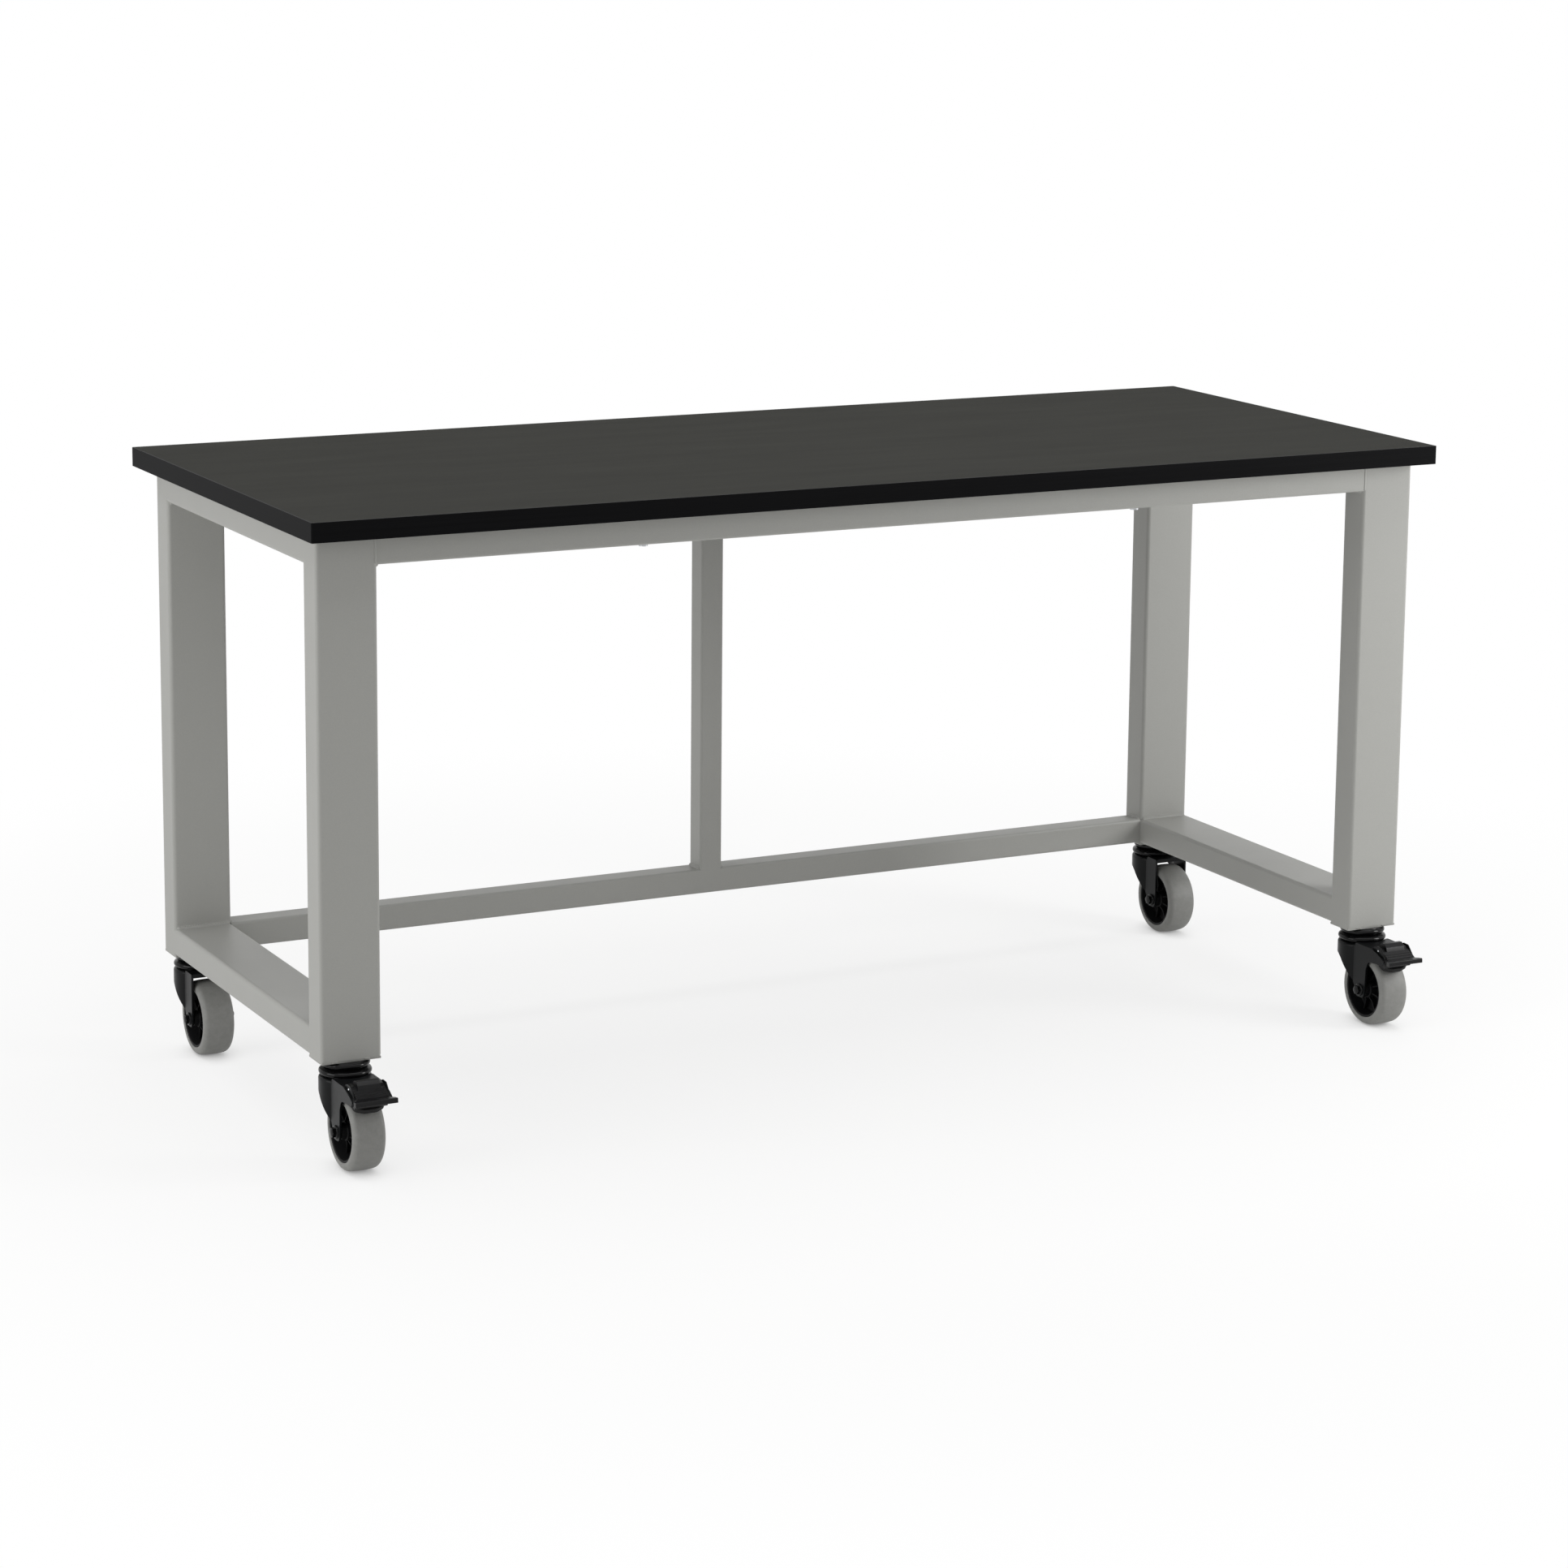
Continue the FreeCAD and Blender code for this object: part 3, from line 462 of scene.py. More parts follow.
def piece(bm, name, finish, body, origin=Vector((0, 0, 0)), replaced=(), edge=0.0, smooth=40):
    """Turn a mesh in millimetres into a named piece that rides a body."""
    bmesh.ops.recalc_face_normals(bm, faces=bm.faces)
    mesh = bpy.data.meshes.new(name)
    bm.to_mesh(mesh)
    bm.free()
    mesh.transform(Matrix.Translation(origin) @ Matrix.Scale(MM, 4))
    made = bpy.data.objects.new(name, mesh)
    bpy.context.scene.collection.objects.link(made)
    mesh.materials.append(FINISHES[finish])
    mesh.shade_smooth()
    mesh.set_sharp_from_angle(angle=math.radians(smooth))
    if edge:
        bevel = made.modifiers.new("soft_edge", "BEVEL")
        bevel.width = edge * MM
        bevel.segments = 2
        bevel.limit_method = "ANGLE"
        bevel.angle_limit = math.radians(smooth)
        bevel.harden_normals = True
    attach(made, body)
    if replaced:
        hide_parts(*replaced)


# Worktop and frame


class WORKBENCH_OT_worktop(bpy.types.Operator):
    """Finish the worktop's laminate, backer, core and edge band"""
    bl_idname = "workbench.worktop"
    bl_label = "Worktop"

    def execute(self, context):
        paint_node("top_laminate", "laminate")
        paint_node("top_backer", "laminate")
        paint_node("top_core", "board")
        paint_node("edge_bands", "band")
        return {"FINISHED"}


class WORKBENCH_OT_frame_tubes(bpy.types.Operator):
    """Coat the welded tube frame and its foot plates"""
    bl_idname = "workbench.frame_tubes"
    bl_label = "Frame tubes"

    def execute(self, context):
        names = ["front_apron", "back_apron", "back_stretcher", "centre_post", "base_plates"]
        for side in ("left", "right"):
            names += [side + end for end in ("_front_leg", "_back_leg", "_top_rail", "_bottom_rail")]
        for name in names:
            paint_node(name, "coat")
        paint_node("stem_nuts", "zinc")
        return {"FINISHED"}


def bead_line(bm, start, end, fan, leg, ripple):
    """Rippled weld bead along a line; the fan holds the ways in which its section reaches out."""
    run = end - start
    steps = max(4, int(run.length / ripple * 5))
    sink = -sum(fan, Vector()).normalized() * leg * 0.2
    rings = []
    for step in range(steps + 1):
        along = run.length * step / steps
        wave = abs(math.sin(math.pi * along / ripple))
        taper = min(1.0, 0.45 + min(along, run.length - along) / (leg * 0.8))
        reach = leg * taper * (0.88 + 0.16 * wave)
        centre = start + run * step / steps
        rings.append([bm.verts.new(centre + sink)] + [bm.verts.new(centre + way * reach) for way in fan])
    count = len(fan) + 1
    for first, second in zip(rings, rings[1:]):
        for turn in range(count):
            after = (turn + 1) % count
            bm.faces.new((first[turn], first[after], second[after], second[turn]))
    bm.faces.new(list(reversed(rings[0])))
    bm.faces.new(rings[-1])


def corner_fan(first, second):
    """Section of a fillet bead between two faces that meet at right angles."""
    first, second = Vector(first), Vector(second)
    return [first] + [(first * math.cos(math.radians(a)) + second * math.sin(math.radians(a))) * 0.84
                      for a in (15, 30, 45, 60, 75)] + [second]


def seam_fan(across, out):
    """Section of a low bead over a joint between two faces that lie flush, half as high as it is wide."""
    across, out = Vector(across), Vector(out)
    return [across * math.cos(math.radians(a)) + out * 0.5 * math.sin(math.radians(a))
            for a in range(0, 181, 30)]


class WORKBENCH_OT_weld_beads(bpy.types.Operator):
    """Lay the welds of the frame: fillets at inside corners, flat seams and tacks"""
    bl_idname = "workbench.weld_beads"
    bl_label = "Weld beads"

    def execute(self, context):
        size = sizes()
        bm = bmesh.new()
        legs = {(side, line): box_mm("%s_%s_leg" % (side, line))
                for side in ("left", "right") for line in ("front", "back")}
        apron_low, apron_high = box_mm("front_apron")
        bar_low, bar_high = box_mm("back_stretcher")
        post_low, post_high = box_mm("centre_post")

        def lay(start, end, side_a, side_b):
            fan = corner_fan(side_a, side_b)
            bead_line(bm, Vector(start), Vector(end), fan, size["bead"], size["ripple"])

        def seam(start, end, across, out):
            bead_line(bm, Vector(start), Vector(end), seam_fan(across, out), size["seam"], size["ripple"])

        def inner_face(side, line):
            low, high = legs[side, line]
            return high.x if side == "left" else low.x

        for side, inward in (("left", 1), ("right", -1)):
            # the end rails to the legs, inside the end frame
            short = TUBE_CORNER * 0.6
            for level, up in (("top", -1), ("bottom", 1)):
                low, high = box_mm("%s_%s_rail" % (side, level))
                height = high.z if level == "bottom" else low.z
                for line, away in (("front", 1), ("back", -1)):
                    face = legs[side, line][1 if line == "front" else 0].y
                    lay((low.x + short, face, height), (high.x - short, face, height),
                        (0, 0, up), (0, away, 0))
            # the aprons and the stretcher to the legs, along their edges
            short = 4.0
            for name, line, up in (("front_apron", "front", -1), ("back_apron", "back", -1),
                                   ("back_stretcher", "back", -1), ("back_stretcher", "back", 1)):
                low, high = box_mm(name)
                face, height = inner_face(side, line), high.z if up > 0 else low.z
                lay((face, low.y + short, height), (face, high.y - short, height),
                    (0, 0, up), (inward, 0, 0))
        for side, inward in (("left", 1), ("right", -1)):
            # the flat seam between the front leg and the apron
            face = inner_face(side, "front") - inward * TUBE_CORNER * 0.5
            front = legs[side, "front"][0].y
            seam((face, front, apron_low.z + 2), (face, front, apron_high.z - 1), (1, 0, 0), (0, -1, 0))
            # the upright bead between the back leg and the stretcher
            face = inner_face(side, "back")
            front = legs[side, "back"][0].y + TUBE_CORNER * 0.7
            lay((face, front, bar_low.z + 4), (face, front, bar_high.z - 3), (inward, 0, 0), (0, -1, 0))
            # two tacks between each leg and its foot plate, below the leg's front edge
            tack, tack_in = 9.0, 0.7
            for line in ("front", "back"):
                low, high = legs[side, line]
                for start in (low.x + 16, high.x - 26):
                    lay((start, low.y + tack_in, low.z), (start + tack, low.y + tack_in, low.z),
                        (0, -0.45, 0), (0, 0, -0.7))
        # the centre post to the stretcher and the back apron
        short = 3.0
        for face, away in ((post_low.x, -1), (post_high.x, 1)):
            for height, up in ((bar_high.z, 1), (box_mm("back_apron")[0].z, -1)):
                lay((face, post_low.y + short, height), (face, post_high.y - short, height),
                    (0, 0, up), (away, 0, 0))
        piece(bm, "weld_beads", "coat", "bench", smooth=60)
        return {"FINISHED"}


# Casters


class WORKBENCH_OT_tyres(bpy.types.Operator):
    """Turn the four rubber tyres"""
    bl_idname = "workbench.tyres"
    bl_label = "Tyres"

    def execute(self, context):
        size = sizes()
        for prefix in CORNERS:
            half, seat, round_off = WHEEL_WIDTH / 2, TYRE_SEAT, size["shoulder"]
            # the tread bulges like a ball of 130 mm radius, and the shoulder runs into it at 82 degrees
            bulge, sweep = 2 * 130.0, 82
            turn = math.radians(sweep)
            edge = half - round_off + round_off * math.cos(turn)
            level = WHEEL_RADIUS - edge * edge / bulge - round_off * math.sin(turn)
            side_arc = arc_points((half - round_off, level), round_off, 0, sweep, 12)
            crown = [(x, WHEEL_RADIUS - x * x / bulge) for x in (12, 8, 4, 0)]
            right = [(half - 1.4, seat), (half - 0.3, seat + 0.4), (half, seat + 1.2)] + side_arc + crown
            profile = [(-along, radius) for along, radius in right[:-1]] + list(reversed(right))
            bm = bmesh.new()
            lay = crosswise((0, -TRAIL, WHEEL_RADIUS))
            close_lathe(bm, lathe(bm, profile, lay, 128))
            piece(bm, prefix + "_tread", "tread", prefix + "_wheel", stem_spot(prefix),
                  [prefix + "_tyre"], smooth=50)
        return {"FINISHED"}


class WORKBENCH_OT_wheel_cores(bpy.types.Operator):
    """Mould the four wheel cores with hub, web, ribs and rim"""
    bl_idname = "workbench.wheel_cores"
    bl_label = "Wheel cores"

    def execute(self, context):
        for prefix in CORNERS:
            bm = bmesh.new()
            centre = (0, -TRAIL, WHEEL_RADIUS)
            seat = TYRE_SEAT
            right = [(25.5, 8.1), (25.5, 10.6), (24.6, 11.6), (18, 12.4), (17, 13.8), (6, 15.4), (3.6, 18),
                     (3.0, 21), (3.0, seat - 8), (3.8, seat - 6), (6.0, seat - 4.6), (20.5, seat - 3.6),
                     (22.4, seat - 3.0), (22.8, seat - 2.0), (22.8, seat - 0.4), (22.4, seat)]
            profile = right + [(-along, radius) for along, radius in reversed(right)]
            lay = crosswise(centre)
            close_lathe(bm, lathe(bm, profile, lay, 96))
            rib = [(2.0, 12.0), (15.5, 12.5), (11.0, 22.0), (9.5, seat - 6.0), (10.5, seat - 3.5),
                   (2.0, seat - 3.5)]
            for number in range(RIBS):
                turn = 2 * math.pi * (number + 0.5) / RIBS
                for way in (1, -1):
                    prism(bm, rib, -RIB_THICK / 2, RIB_THICK / 2, spoke(centre, turn, way))
            piece(bm, prefix + "_core", "core", prefix + "_wheel", stem_spot(prefix),
                  [prefix + "_wheel_core"], edge=0.5, smooth=35)
        return {"FINISHED"}


class WORKBENCH_OT_races(bpy.types.Operator):
    """Turn the swivel races and stems"""
    bl_idname = "workbench.races"
    bl_label = "Swivel races"

    def execute(self, context):
        for prefix in CORNERS:
            bm = bmesh.new()
            low, high = CROWN_TOP - 0.5, RACE_TOP
            lower = [(low, 6.2), (low, 31.0), (low + 1.4, 33.6)]
            lower += arc_points(((low + high) / 2 + 0.4, 32.6), 4.6, 160, 20, 12)
            lower += [(high - 0.6, 32.6), (high, 31.6), (high, 6.2)]
            close_lathe(bm, lathe(bm, lower, upright(), 96))
            piece(bm, prefix + "_lower_cup", "race", prefix + "_caster", stem_spot(prefix),
                  [prefix + "_lower_race"], smooth=50)
            bm = bmesh.new()
            base = RACE_TOP + RACE_GAP
            upper = [(base - 17.0, 0), (base - 17.0, 8.0), (base - 15.0, 9.0), (base - 14.2, 9.0),
                     (base - 14.2, 6.0), (base, 6.0), (base, 31.0), (base + 0.6, 31.6)]
            upper += arc_points(((base + PLATE_UNDER) / 2, 30.6), 4.2, 158, 22, 12)
            upper += [(PLATE_UNDER - 0.8, 31.4), (PLATE_UNDER, 31.0), (PLATE_UNDER, 6.0),
                      (PLATE_UNDER + 18, 6.0), (PLATE_UNDER + 19, 5.0), (PLATE_UNDER + 19, 0)]
            lathe(bm, upper, upright(), 96)
            piece(bm, prefix + "_upper_cup", "race", "bench", stem_spot(prefix),
                  [prefix + "_stem_race"], smooth=50)
        return {"FINISHED"}


def skirt_under(forward):
    """Height of the skirt's lower edge so far forward of the stem: level at the back, then down the leg."""
    return level_at(((-40.0, 106.0), (-17.0, 105.6), (-10.0, 104.0), (-3.0, 99.5), (4.0, 91.0),
                     (12.0, 81.0), (22.0, 68.5), (31.0, 57.0)), forward)


def skirt_wall(bm, radius, thick, bend, join):
    """Round back of a pressed fork, from flank to flank, bent over into the crown."""
    start = -math.degrees(math.asin(join / radius))
    samples = 72
    shells = []
    for inset in (0.0, thick):
        columns = []
        for step in range(samples + 1):
            turn = math.radians(start + (180 - 2 * start) * step / samples)
            low = skirt_under(-radius * math.sin(turn))
            shoulder = CROWN_TOP - bend
            levels = [(radius - inset, low + (shoulder - low) * level / 6) for level in range(7)]
            levels += [(radius - bend + (bend - inset) * math.cos(math.radians(slope)),
                        shoulder + (bend - inset) * math.sin(math.radians(slope)))
                       for slope in (22, 45, 68, 90)]
            columns.append([bm.verts.new((reach * math.cos(turn), reach * math.sin(turn), height))
                            for reach, height in levels])
        shells.append(columns)
    outer, inner = shells
    tall = len(outer[0]) - 1
    for step in range(samples):
        for level in range(tall):
            for shell in shells:
                bm.faces.new((shell[step][level], shell[step + 1][level], shell[step + 1][level + 1],
                              shell[step][level + 1]))
        for level in (0, tall):
            bm.faces.new((outer[step][level], inner[step][level],
                          inner[step + 1][level], outer[step + 1][level]))
    for step in (0, samples):
        for level in range(tall):
            bm.faces.new((outer[step][level], outer[step][level + 1],
                          inner[step][level + 1], inner[step][level]))


class WORKBENCH_OT_forks(bpy.types.Operator):
    """Press the four forks, with pedal cheeks on the braked pair"""
    bl_idname = "workbench.forks"
    bl_label = "Forks"

    def execute(self, context):
        size = sizes()
        sheet, bend, skirt = size["sheet"], size["bend"], size["skirt"]
        half = INSIDE / 2 + sheet
        # where the round skirt meets the flanks, in front of the stem
        join = math.sqrt(skirt * skirt - half * half)
        axle = WHEEL_RADIUS
        front = TRAIL + 13.0
        top = CROWN_TOP - bend + 0.5
        # inner brackets of the braked forks, which hold the pedal's pin
        bracket = 1.7
        # room between the deck's round cut and the races above the skirt
        clear = skirt + 0.3
        for prefix in CORNERS:
            bm = bmesh.new()
            corners = [(join - 1, top, 0), (join - 1, skirt_under(join - 1), 2),
                       (TRAIL - 12.4, axle - 1, 10), (TRAIL - 10.5, axle - 11.8, 9),
                       (TRAIL + 10.5, axle - 11.8, 9), (front, axle - 1, 8)]
            if prefix in BRAKED:
                deck, reach = CROWN_TOP + size["deck"], 64.0
                corners += [(front + 2, 93, 10), (62, 107, 9), (84, 108.5, 20), (100, 108.5, 2),
                            (104.5, 116, 2.5), (94, 122, 8), (82, 126.5, 8), (70, deck, 8)]
            else:
                deck, reach = CROWN_TOP + size["deck"] - 1, front - 0.3
                corners.append((front, deck, 2))
            corners += [(join + 4, deck, 4), (join + 1, top, 0)]
            points = soft_outline(corners)
            for side in (-1, 1):
                inner, outer = sorted((side * (half - sheet), side * half))
                prism(bm, points, inner, outer, side_on)
                if prefix in BRAKED:
                    ear = soft_outline([(65, 122, 2), (68, 131.5, 3), (77, 135.5, 5), (89, 135, 5),
                                        (98, 125.5, 5), (104, 118.5, 2), (100, 112, 3), (72, 113, 3)])
                    inner, outer = sorted((side * (half - sheet - bracket), side * (half - sheet + 0.2)))
                    prism(bm, ear, inner, outer, side_on)
            piece(bm, prefix + "_fork_flanks", "fork", prefix + "_caster", stem_spot(prefix),
                  [prefix + "_fork"], edge=size["soft_edge"], smooth=35)
            bm = bmesh.new()
            skirt_wall(bm, skirt, sheet, bend, join + 0.5)
            lathe(bm, [(CROWN_TOP - sheet, 0), (CROWN_TOP - sheet, skirt - bend - 0.2),
                       (CROWN_TOP - 0.05, skirt - bend), (CROWN_TOP - 0.05, 0)], upright(), 96)
            inside = half - sheet + 0.3
            step_in = math.sqrt(clear ** 2 - inside ** 2)
            plan = [(inside, step_in), (inside, reach), (-inside, reach), (-inside, step_in)]
            bow = math.asin(inside / clear)
            plan += [(clear * math.sin(turn), clear * math.cos(turn))
                     for turn in [-bow + 2 * bow * step / 24 for step in range(1, 24)]]
            prism(bm, plan, CROWN_TOP - sheet, deck - 0.2,
                  lambda across, place, up: Vector((across, -place, up)))
            piece(bm, prefix + "_fork_crown", "fork", prefix + "_caster", stem_spot(prefix),
                  edge=size["soft_edge"], smooth=40)
        return {"FINISHED"}


def hex_points(across_flats):
    """Corners of a hexagon by its width across the flats."""
    reach = across_flats / math.sqrt(3)
    return [(reach * math.cos(math.radians(turn)), reach * math.sin(math.radians(turn)))
            for turn in range(0, 360, 60)]


class WORKBENCH_OT_axle_sets(bpy.types.Operator):
    """Fit the axle bolts, lock nuts and hub bushes"""
    bl_idname = "workbench.axle_sets"
    bl_label = "Axle sets"

    def execute(self, context):
        half = INSIDE / 2 + sizes()["sheet"]
        across_flats = 13.0
        shank = [(-half - 2.0, 0), (-half - 2.0, 4.0), (half + 9.4, 4.0), (half + 10, 3.4), (half + 10, 0)]
        washer = [(-half - 2.6, 0), (-half - 2.6, 8.0), (-half - 1.8, 9.4), (-half, 9.8), (-half + 0.1, 0)]
        dome = [(-half - 8.2, 0), (-half - 8.0, 3.8), (-half - 7.4, 5.9), (-half - 7.0, 6.1),
                (-half - 7.0, 0)]

        def on_axle(y, z, x):
            return Vector((x, y - TRAIL, z + WHEEL_RADIUS))

        for prefix in CORNERS:
            origin = stem_spot(prefix)
            lay = crosswise((0, -TRAIL, WHEEL_RADIUS))
            bm = bmesh.new()
            lathe(bm, shank, lay, 32)
            lathe(bm, washer, lay, 48)
            prism(bm, hex_points(across_flats), -half - 7.2, -half - 1.5, on_axle)
            lathe(bm, dome, lay, 48)
            piece(bm, prefix + "_bolt", "race", prefix + "_caster", origin,
                  [prefix + "_axle_bolt"], edge=0.4, smooth=35)
            bm = bmesh.new()
            prism(bm, hex_points(across_flats), half + 1.4, half + 6.4, on_axle)
            collar = [(half, 4.05), (half, 8.6), (half + 1.5, 8.4), (half + 1.6, 6.2), (half + 6.3, 6.2),
                      (half + 7.6, 5.6), (half + 8.0, 4.8), (half + 8.0, 4.05)]
            close_lathe(bm, lathe(bm, collar, lay, 48))
            piece(bm, prefix + "_nut", "race", prefix + "_caster", origin,
                  [prefix + "_axle_nut"], edge=0.3, smooth=35)
            paint_node(prefix + "_hub_bush", "zinc")
        return {"FINISHED"}


class WORKBENCH_OT_brakes(bpy.types.Operator):
    """Press the brake pedals, with their pins and shoes"""
    bl_idname = "workbench.brakes"
    bl_label = "Brakes"

    def execute(self, context):
        half = INSIDE / 2 + sizes()["sheet"]
        # half widths of the pedal's lever, of the block on it and of the ridges under the foot
        lever_half, block_half, ridge_half = 24.2, 16.5, 23.6
        # the ridges stand on the sloping line of the foot plate, given as (forward, up)
        ridges, ridge_start, ridge_step = 3, 96.5, 4.0
        plate_line = ((93.5, 128.2), (113.5, 115.0))
        lever = soft_outline([(69, 128, 2), (85, 112, 2), (98, 102.5, 2), (101, 114, 3), (97, 124, 3),
                              (90, 129.5, 3), (84, 133, 3), (71, 134, 3)])
        plate = soft_outline([(84, 130, 2), (92, 129, 3), (107, 119.5, 4), (113, 119.4, 3),
                              (120.4, 120.6, 1.5), (121, 113.2, 1.5), (112, 112.2, 2), (106, 112.8, 4),
                              (94, 119, 3)])
        # the plate widens into a lip in front of the lever
        wings = ((84, lever_half), (109.5, lever_half), (110.8, 30.4), (121, 31))
        block = soft_outline([(70, 128, 1), (72, 136, 3), (78, 139.5, 3), (85, 139.8, 2), (90.5, 134.5, 2),
                              (93.5, 127, 1)])
        # the shoe's pad, seen from above the tread, lies along the lever's underside
        pad = soft_outline([(-23.5, 0, 2), (-22.5, 12, 8), (-9, 17.6, 16), (9, 17.6, 16), (22.5, 12, 8),
                            (23.5, 0, 2)])
        pad_thick, pad_start = 7.6, Vector((80.2, 104.4))
        along, out = Vector((15.5, -9.7)).normalized(), Vector((0.53, 0.85))

        def on_tread(across, slide, rise):
            return side_on(*(pad_start + along * slide + out * rise), across)

        for prefix in BRAKED:
            origin = stem_spot(prefix)
            bm = bmesh.new()
            prism(bm, lever, -lever_half, lever_half, side_on)
            slab(bm, plate, wings)
            prism(bm, block, -block_half, block_half, side_on)
            for number in range(ridges):
                place = ridge_start + ridge_step * number
                level = level_at(plate_line, place)
                ridge = soft_outline([(place, level - 2, 0), (place + 0.5, level + 0.7, 0.3),
                                      (place + 1.7, level, 0.3), (place + 2.1, level - 3, 0)])
                prism(bm, ridge, -ridge_half, ridge_half, side_on)
            piece(bm, prefix + "_pedal", "pedal", prefix + "_brake", origin,
                  [prefix + "_brake_pedal"], edge=0.6, smooth=35)
            bm = bmesh.new()
            prism(bm, pad, 0.0, pad_thick, on_tread)
            piece(bm, prefix + "_shoe", "shoe", prefix + "_brake", origin,
                  [prefix + "_brake_shoe"], edge=0.8, smooth=35)
            bm = bmesh.new()
            rivet = [(-half + 1.8, 0), (-half + 2.1, 1.1), (-half + 2.7, 1.7),
                     (half - 2.7, 1.7), (half - 2.1, 1.1), (half - 1.8, 0)]
            lathe(bm, rivet, crosswise((0, -PEDAL_PIVOT[0], PEDAL_PIVOT[1])), 32)
            piece(bm, prefix + "_rivet", "zinc", prefix + "_caster", origin,
                  [prefix + "_pedal_pin"], smooth=40)
        return {"FINISHED"}


class WORKBENCH_OT_top_screws(bpy.types.Operator):
    """Finish the screws that hold the top"""
    bl_idname = "workbench.top_screws"
    bl_label = "Top screws"

    def execute(self, context):
        paint_node("top_screws", "zinc")
        return {"FINISHED"}


# Studio


def area_lamp(name, spot, aim, wide, tall, power):
    """Soft lamp that faces a point."""
    lamp = bpy.data.lights.new(name, "AREA")
    lamp.shape = "RECTANGLE"
    lamp.size = wide
    lamp.size_y = tall
    lamp.energy = power
    made = bpy.data.objects.new(name, lamp)
    made.location = spot
    made.rotation_euler = (Vector(aim) - Vector(spot)).to_track_quat("-Z", "Y").to_euler()
    bpy.context.scene.collection.objects.link(made)


def straight_rays(tree):
    """1 for camera, glossy and transmission rays, which see the white background, and 0 for the others."""
    rays = add(tree, "ShaderNodeLightPath")
    seen = rays.outputs["Is Camera Ray"]
    for kind in ("Is Glossy Ray", "Is Transmission Ray"):
        seen = add(tree, "ShaderNodeMath", {0: seen, 1: rays.outputs[kind]}, operation="MAXIMUM").outputs[0]
    return seen


def studio_paper():
    """White paper sweep: keeps the shadows near the bench and runs out into plain white further off."""
    material, tree, shader = shader_of("white_paper_sweep", 0.9, Specular_IOR_Level=0.1)
    shader.inputs["Base Color"].default_value = colour("floor")
    place = add(tree, "ShaderNodeTexCoord")
    span = add(tree, "ShaderNodeVectorMath", {0: place.outputs["Object"]}, operation="LENGTH")
    white = add(tree, "ShaderNodeMapRange", {"Value": span.outputs["Value"], "From Min": 0.9, "From Max": 2.2,
                                             "To Min": 0.8, "To Max": 1.0}, interpolation_type="SMOOTHSTEP")
    # painted contact shade: an occlusion mask makes the white give way within 70 mm of a wheel, so the
    # floor's own lit shadow shows there, where it is deepest
    near = add(tree, "ShaderNodeAmbientOcclusion", {"Distance": 0.07})
    painted_contact_shade_mask = add(tree, "ShaderNodeMapRange", {"Value": near.outputs["AO"], "From Min": 0.0,
                                                  "From Max": 0.8, "To Min": 0.25, "To Max": 1.0})
    white = add(tree, "ShaderNodeMath", {0: white.outputs["Result"], 1: painted_contact_shade_mask.outputs["Result"]},
                operation="MULTIPLY")
    factor = add(tree, "ShaderNodeMath", {0: white.outputs[0], 1: straight_rays(tree)}, operation="MULTIPLY")
    glow = add(tree, "ShaderNodeEmission", {"Color": (1, 1, 1, 1), "Strength": 1.0})
    both = add(tree, "ShaderNodeMixShader", {0: factor.outputs[0], 1: shader.outputs[0], 2: glow.outputs[0]})
    tree.links.new(both.outputs[0], tree.nodes["Material Output"].inputs["Surface"])
    return material


# Camera of the photograph, fitted in the frame of the worktop: angles in radians, places in metres
PICTURE = 1932
FOCAL_PIXELS = 5168.05
PRINCIPAL_PIXEL = (1040.0, 760.0)
PAN, TILT, ROLL = 0.48317, 0.18539, 0.01193
EYE = (-2.8507, -5.5767, 1.8324)


def photo_camera():
    """Camera at the photograph's viewpoint."""
    ahead = Vector((math.sin(PAN) * math.cos(TILT), math.cos(PAN) * math.cos(TILT), -math.sin(TILT)))
    level = Vector((math.cos(PAN), -math.sin(PAN), 0))
    above = level.cross(ahead)
    right = math.cos(ROLL) * level + math.sin(ROLL) * above
    above = -math.sin(ROLL) * level + math.cos(ROLL) * above
    data = bpy.data.cameras.new("photo_camera")
    data.sensor_width = 36.0
    data.lens = FOCAL_PIXELS / PICTURE * data.sensor_width
    data.shift_x = (PICTURE / 2 - PRINCIPAL_PIXEL[0]) / PICTURE
    data.shift_y = (PRINCIPAL_PIXEL[1] - PICTURE / 2) / PICTURE
    made = bpy.data.objects.new("photo_camera", data)
    made.matrix_world = Matrix.Translation(EYE) @ Matrix((right, above, -ahead)).transposed().to_4x4()
    bpy.context.scene.collection.objects.link(made)
    bpy.context.scene.camera = made


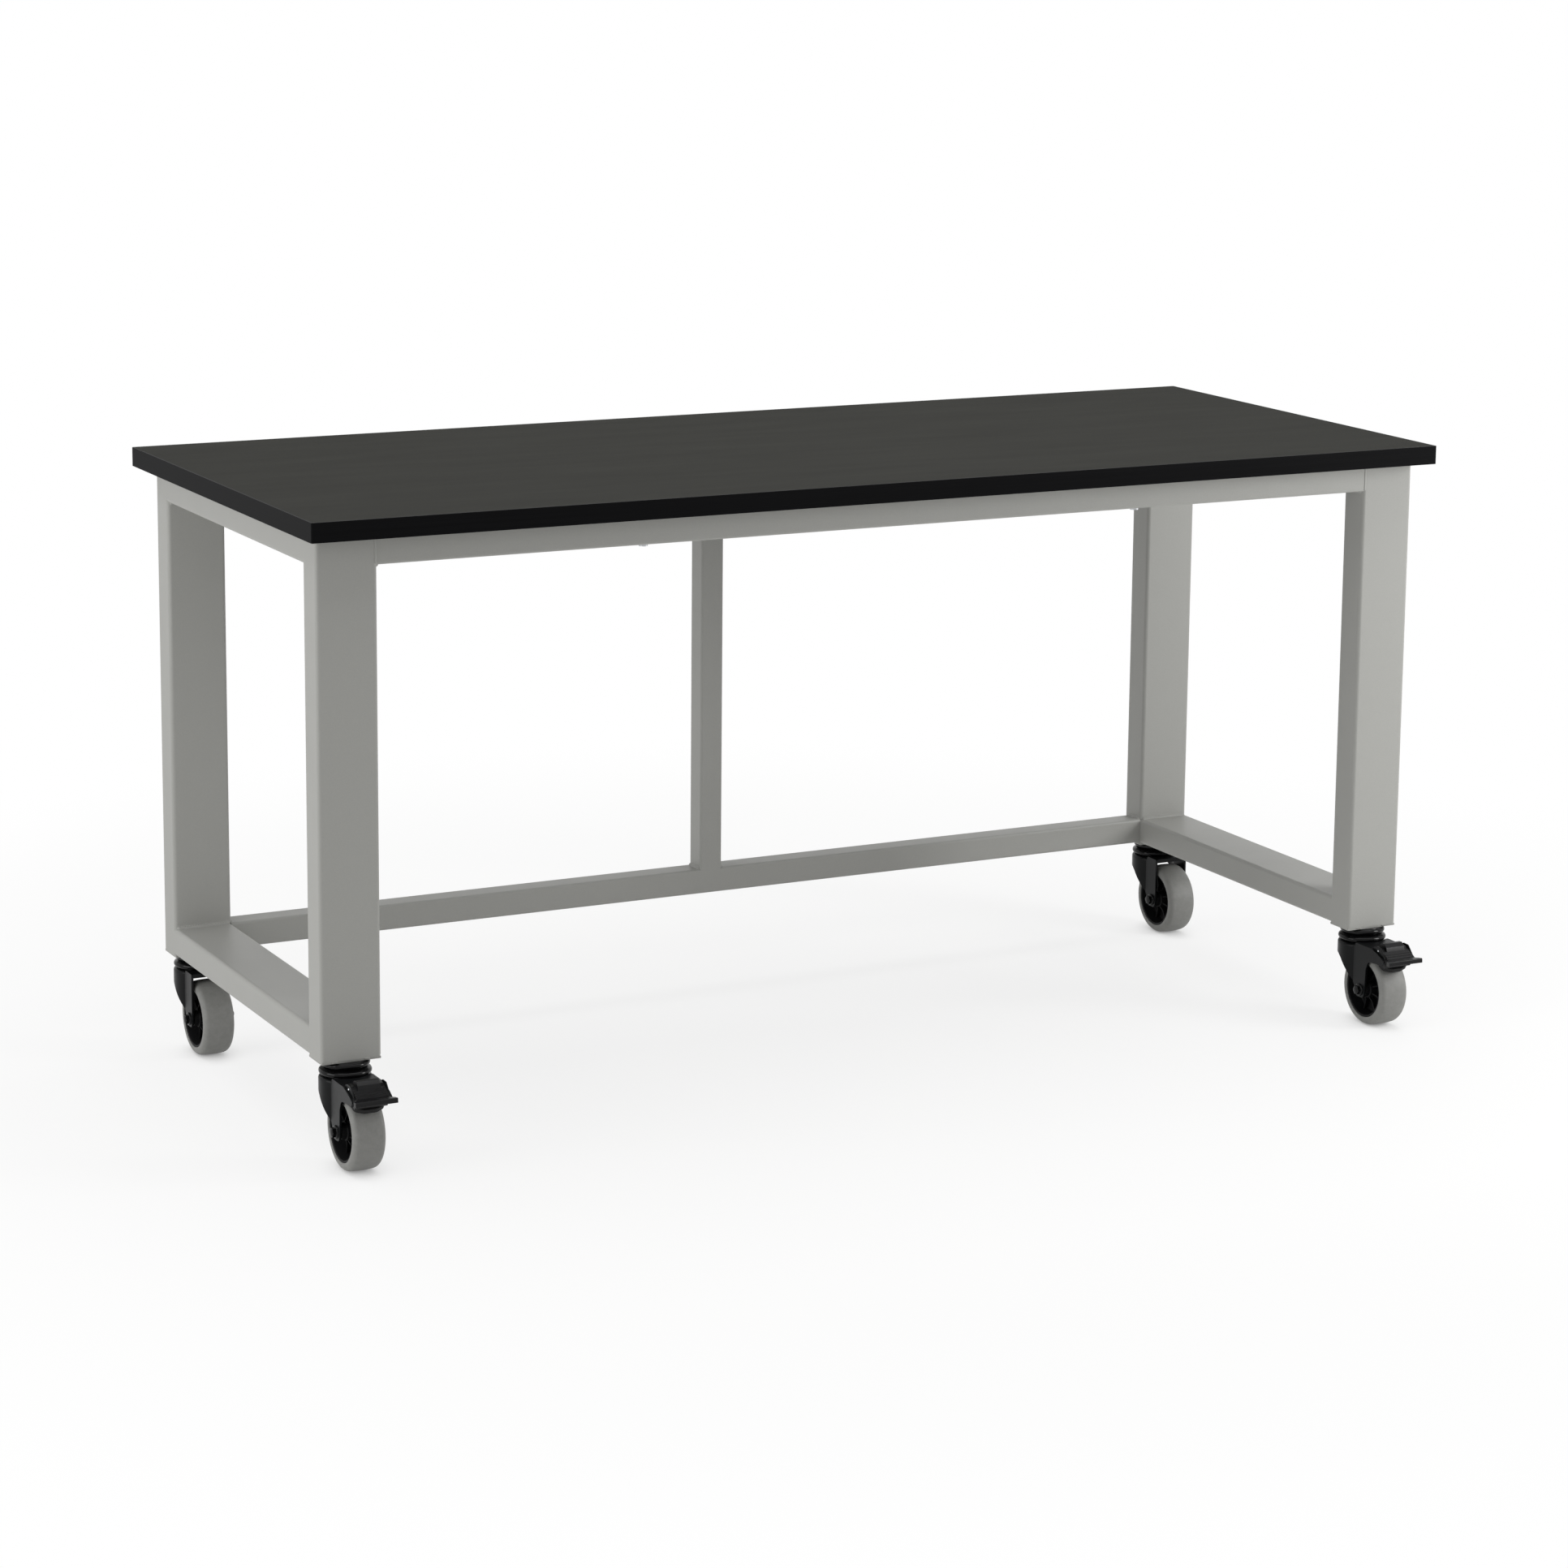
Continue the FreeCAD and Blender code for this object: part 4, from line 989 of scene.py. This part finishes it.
class WORKBENCH_OT_studio(bpy.types.Operator):
    """Set the floor, the lamps, the surroundings and the camera"""
    bl_idname = "workbench.studio"
    bl_label = "Studio"

    def execute(self, context):
        scene = context.scene
        bm = bmesh.new()
        bmesh.ops.create_grid(bm, x_segments=2, y_segments=2, size=30.0)
        mesh = bpy.data.meshes.new("studio_floor")
        bm.to_mesh(mesh)
        bm.free()
        ground = bpy.data.objects.new("studio_floor", mesh)
        scene.collection.objects.link(ground)
        mesh.materials.append(studio_paper())
        world = bpy.data.worlds.new("studio_air")
        scene.world = world
        world.use_nodes = True
        tree = world.node_tree
        tree.nodes.clear()
        seen = straight_rays(tree)
        white = add(tree, "ShaderNodeBackground", {"Color": (1, 1, 1, 1), "Strength": 1.0})
        soft = add(tree, "ShaderNodeBackground", {"Color": (1, 1, 1, 1), "Strength": 0.28})
        both = add(tree, "ShaderNodeMixShader", {0: seen, 1: soft.outputs[0], 2: white.outputs[0]})
        add(tree, "ShaderNodeOutputWorld", {"Surface": both.outputs[0]})
        area_lamp("left_softbox", (-4.2, -0.4, 1.3), (0, 0.1, 0.45), 2.2, 2.2, 54)
        area_lamp("right_softbox", (2.4, -1.7, 1.2), (0.75, -0.25, 0.5), 0.8, 1.2, 37)
        area_lamp("overhead_softbox", (0, 0, 3.6), (0, 0, 0), 5.0, 3.2, 96)
        scene.view_settings.view_transform = "Standard"
        photo_camera()
        return {"FINISHED"}


class WORKBENCH_PT_pieces(bpy.types.Panel):
    """Lists the workbench's pieces in the sidebar"""
    bl_label = "Workbench"
    bl_space_type = "VIEW_3D"
    bl_region_type = "UI"
    bl_category = "Workbench"

    def draw(self, context):
        for kind in STEPS:
            self.layout.operator(kind.bl_idname)
        for group in (context.scene.workbench_sizes, context.scene.workbench_colours):
            for name in group.__annotations__:
                self.layout.prop(group, name)


STEPS = (WORKBENCH_OT_studio, WORKBENCH_OT_worktop, WORKBENCH_OT_frame_tubes, WORKBENCH_OT_weld_beads,
         WORKBENCH_OT_top_screws, WORKBENCH_OT_tyres, WORKBENCH_OT_wheel_cores, WORKBENCH_OT_races,
         WORKBENCH_OT_forks, WORKBENCH_OT_axle_sets, WORKBENCH_OT_brakes)
CLASSES = (WorkbenchColours, WorkbenchSizes) + STEPS + (WORKBENCH_PT_pieces,)


def register():
    for kind in CLASSES:
        bpy.utils.register_class(kind)
    bpy.types.Scene.workbench_colours = bpy.props.PointerProperty(type=WorkbenchColours)
    bpy.types.Scene.workbench_sizes = bpy.props.PointerProperty(type=WorkbenchSizes)


def unregister():
    del bpy.types.Scene.workbench_sizes
    del bpy.types.Scene.workbench_colours
    for kind in reversed(CLASSES):
        bpy.utils.unregister_class(kind)


def main():
    register()
    make_finishes()
    for kind in STEPS:
        group, action = kind.bl_idname.split(".")
        getattr(getattr(bpy.ops, group), action)()


if __name__ == "__main__":
    main()
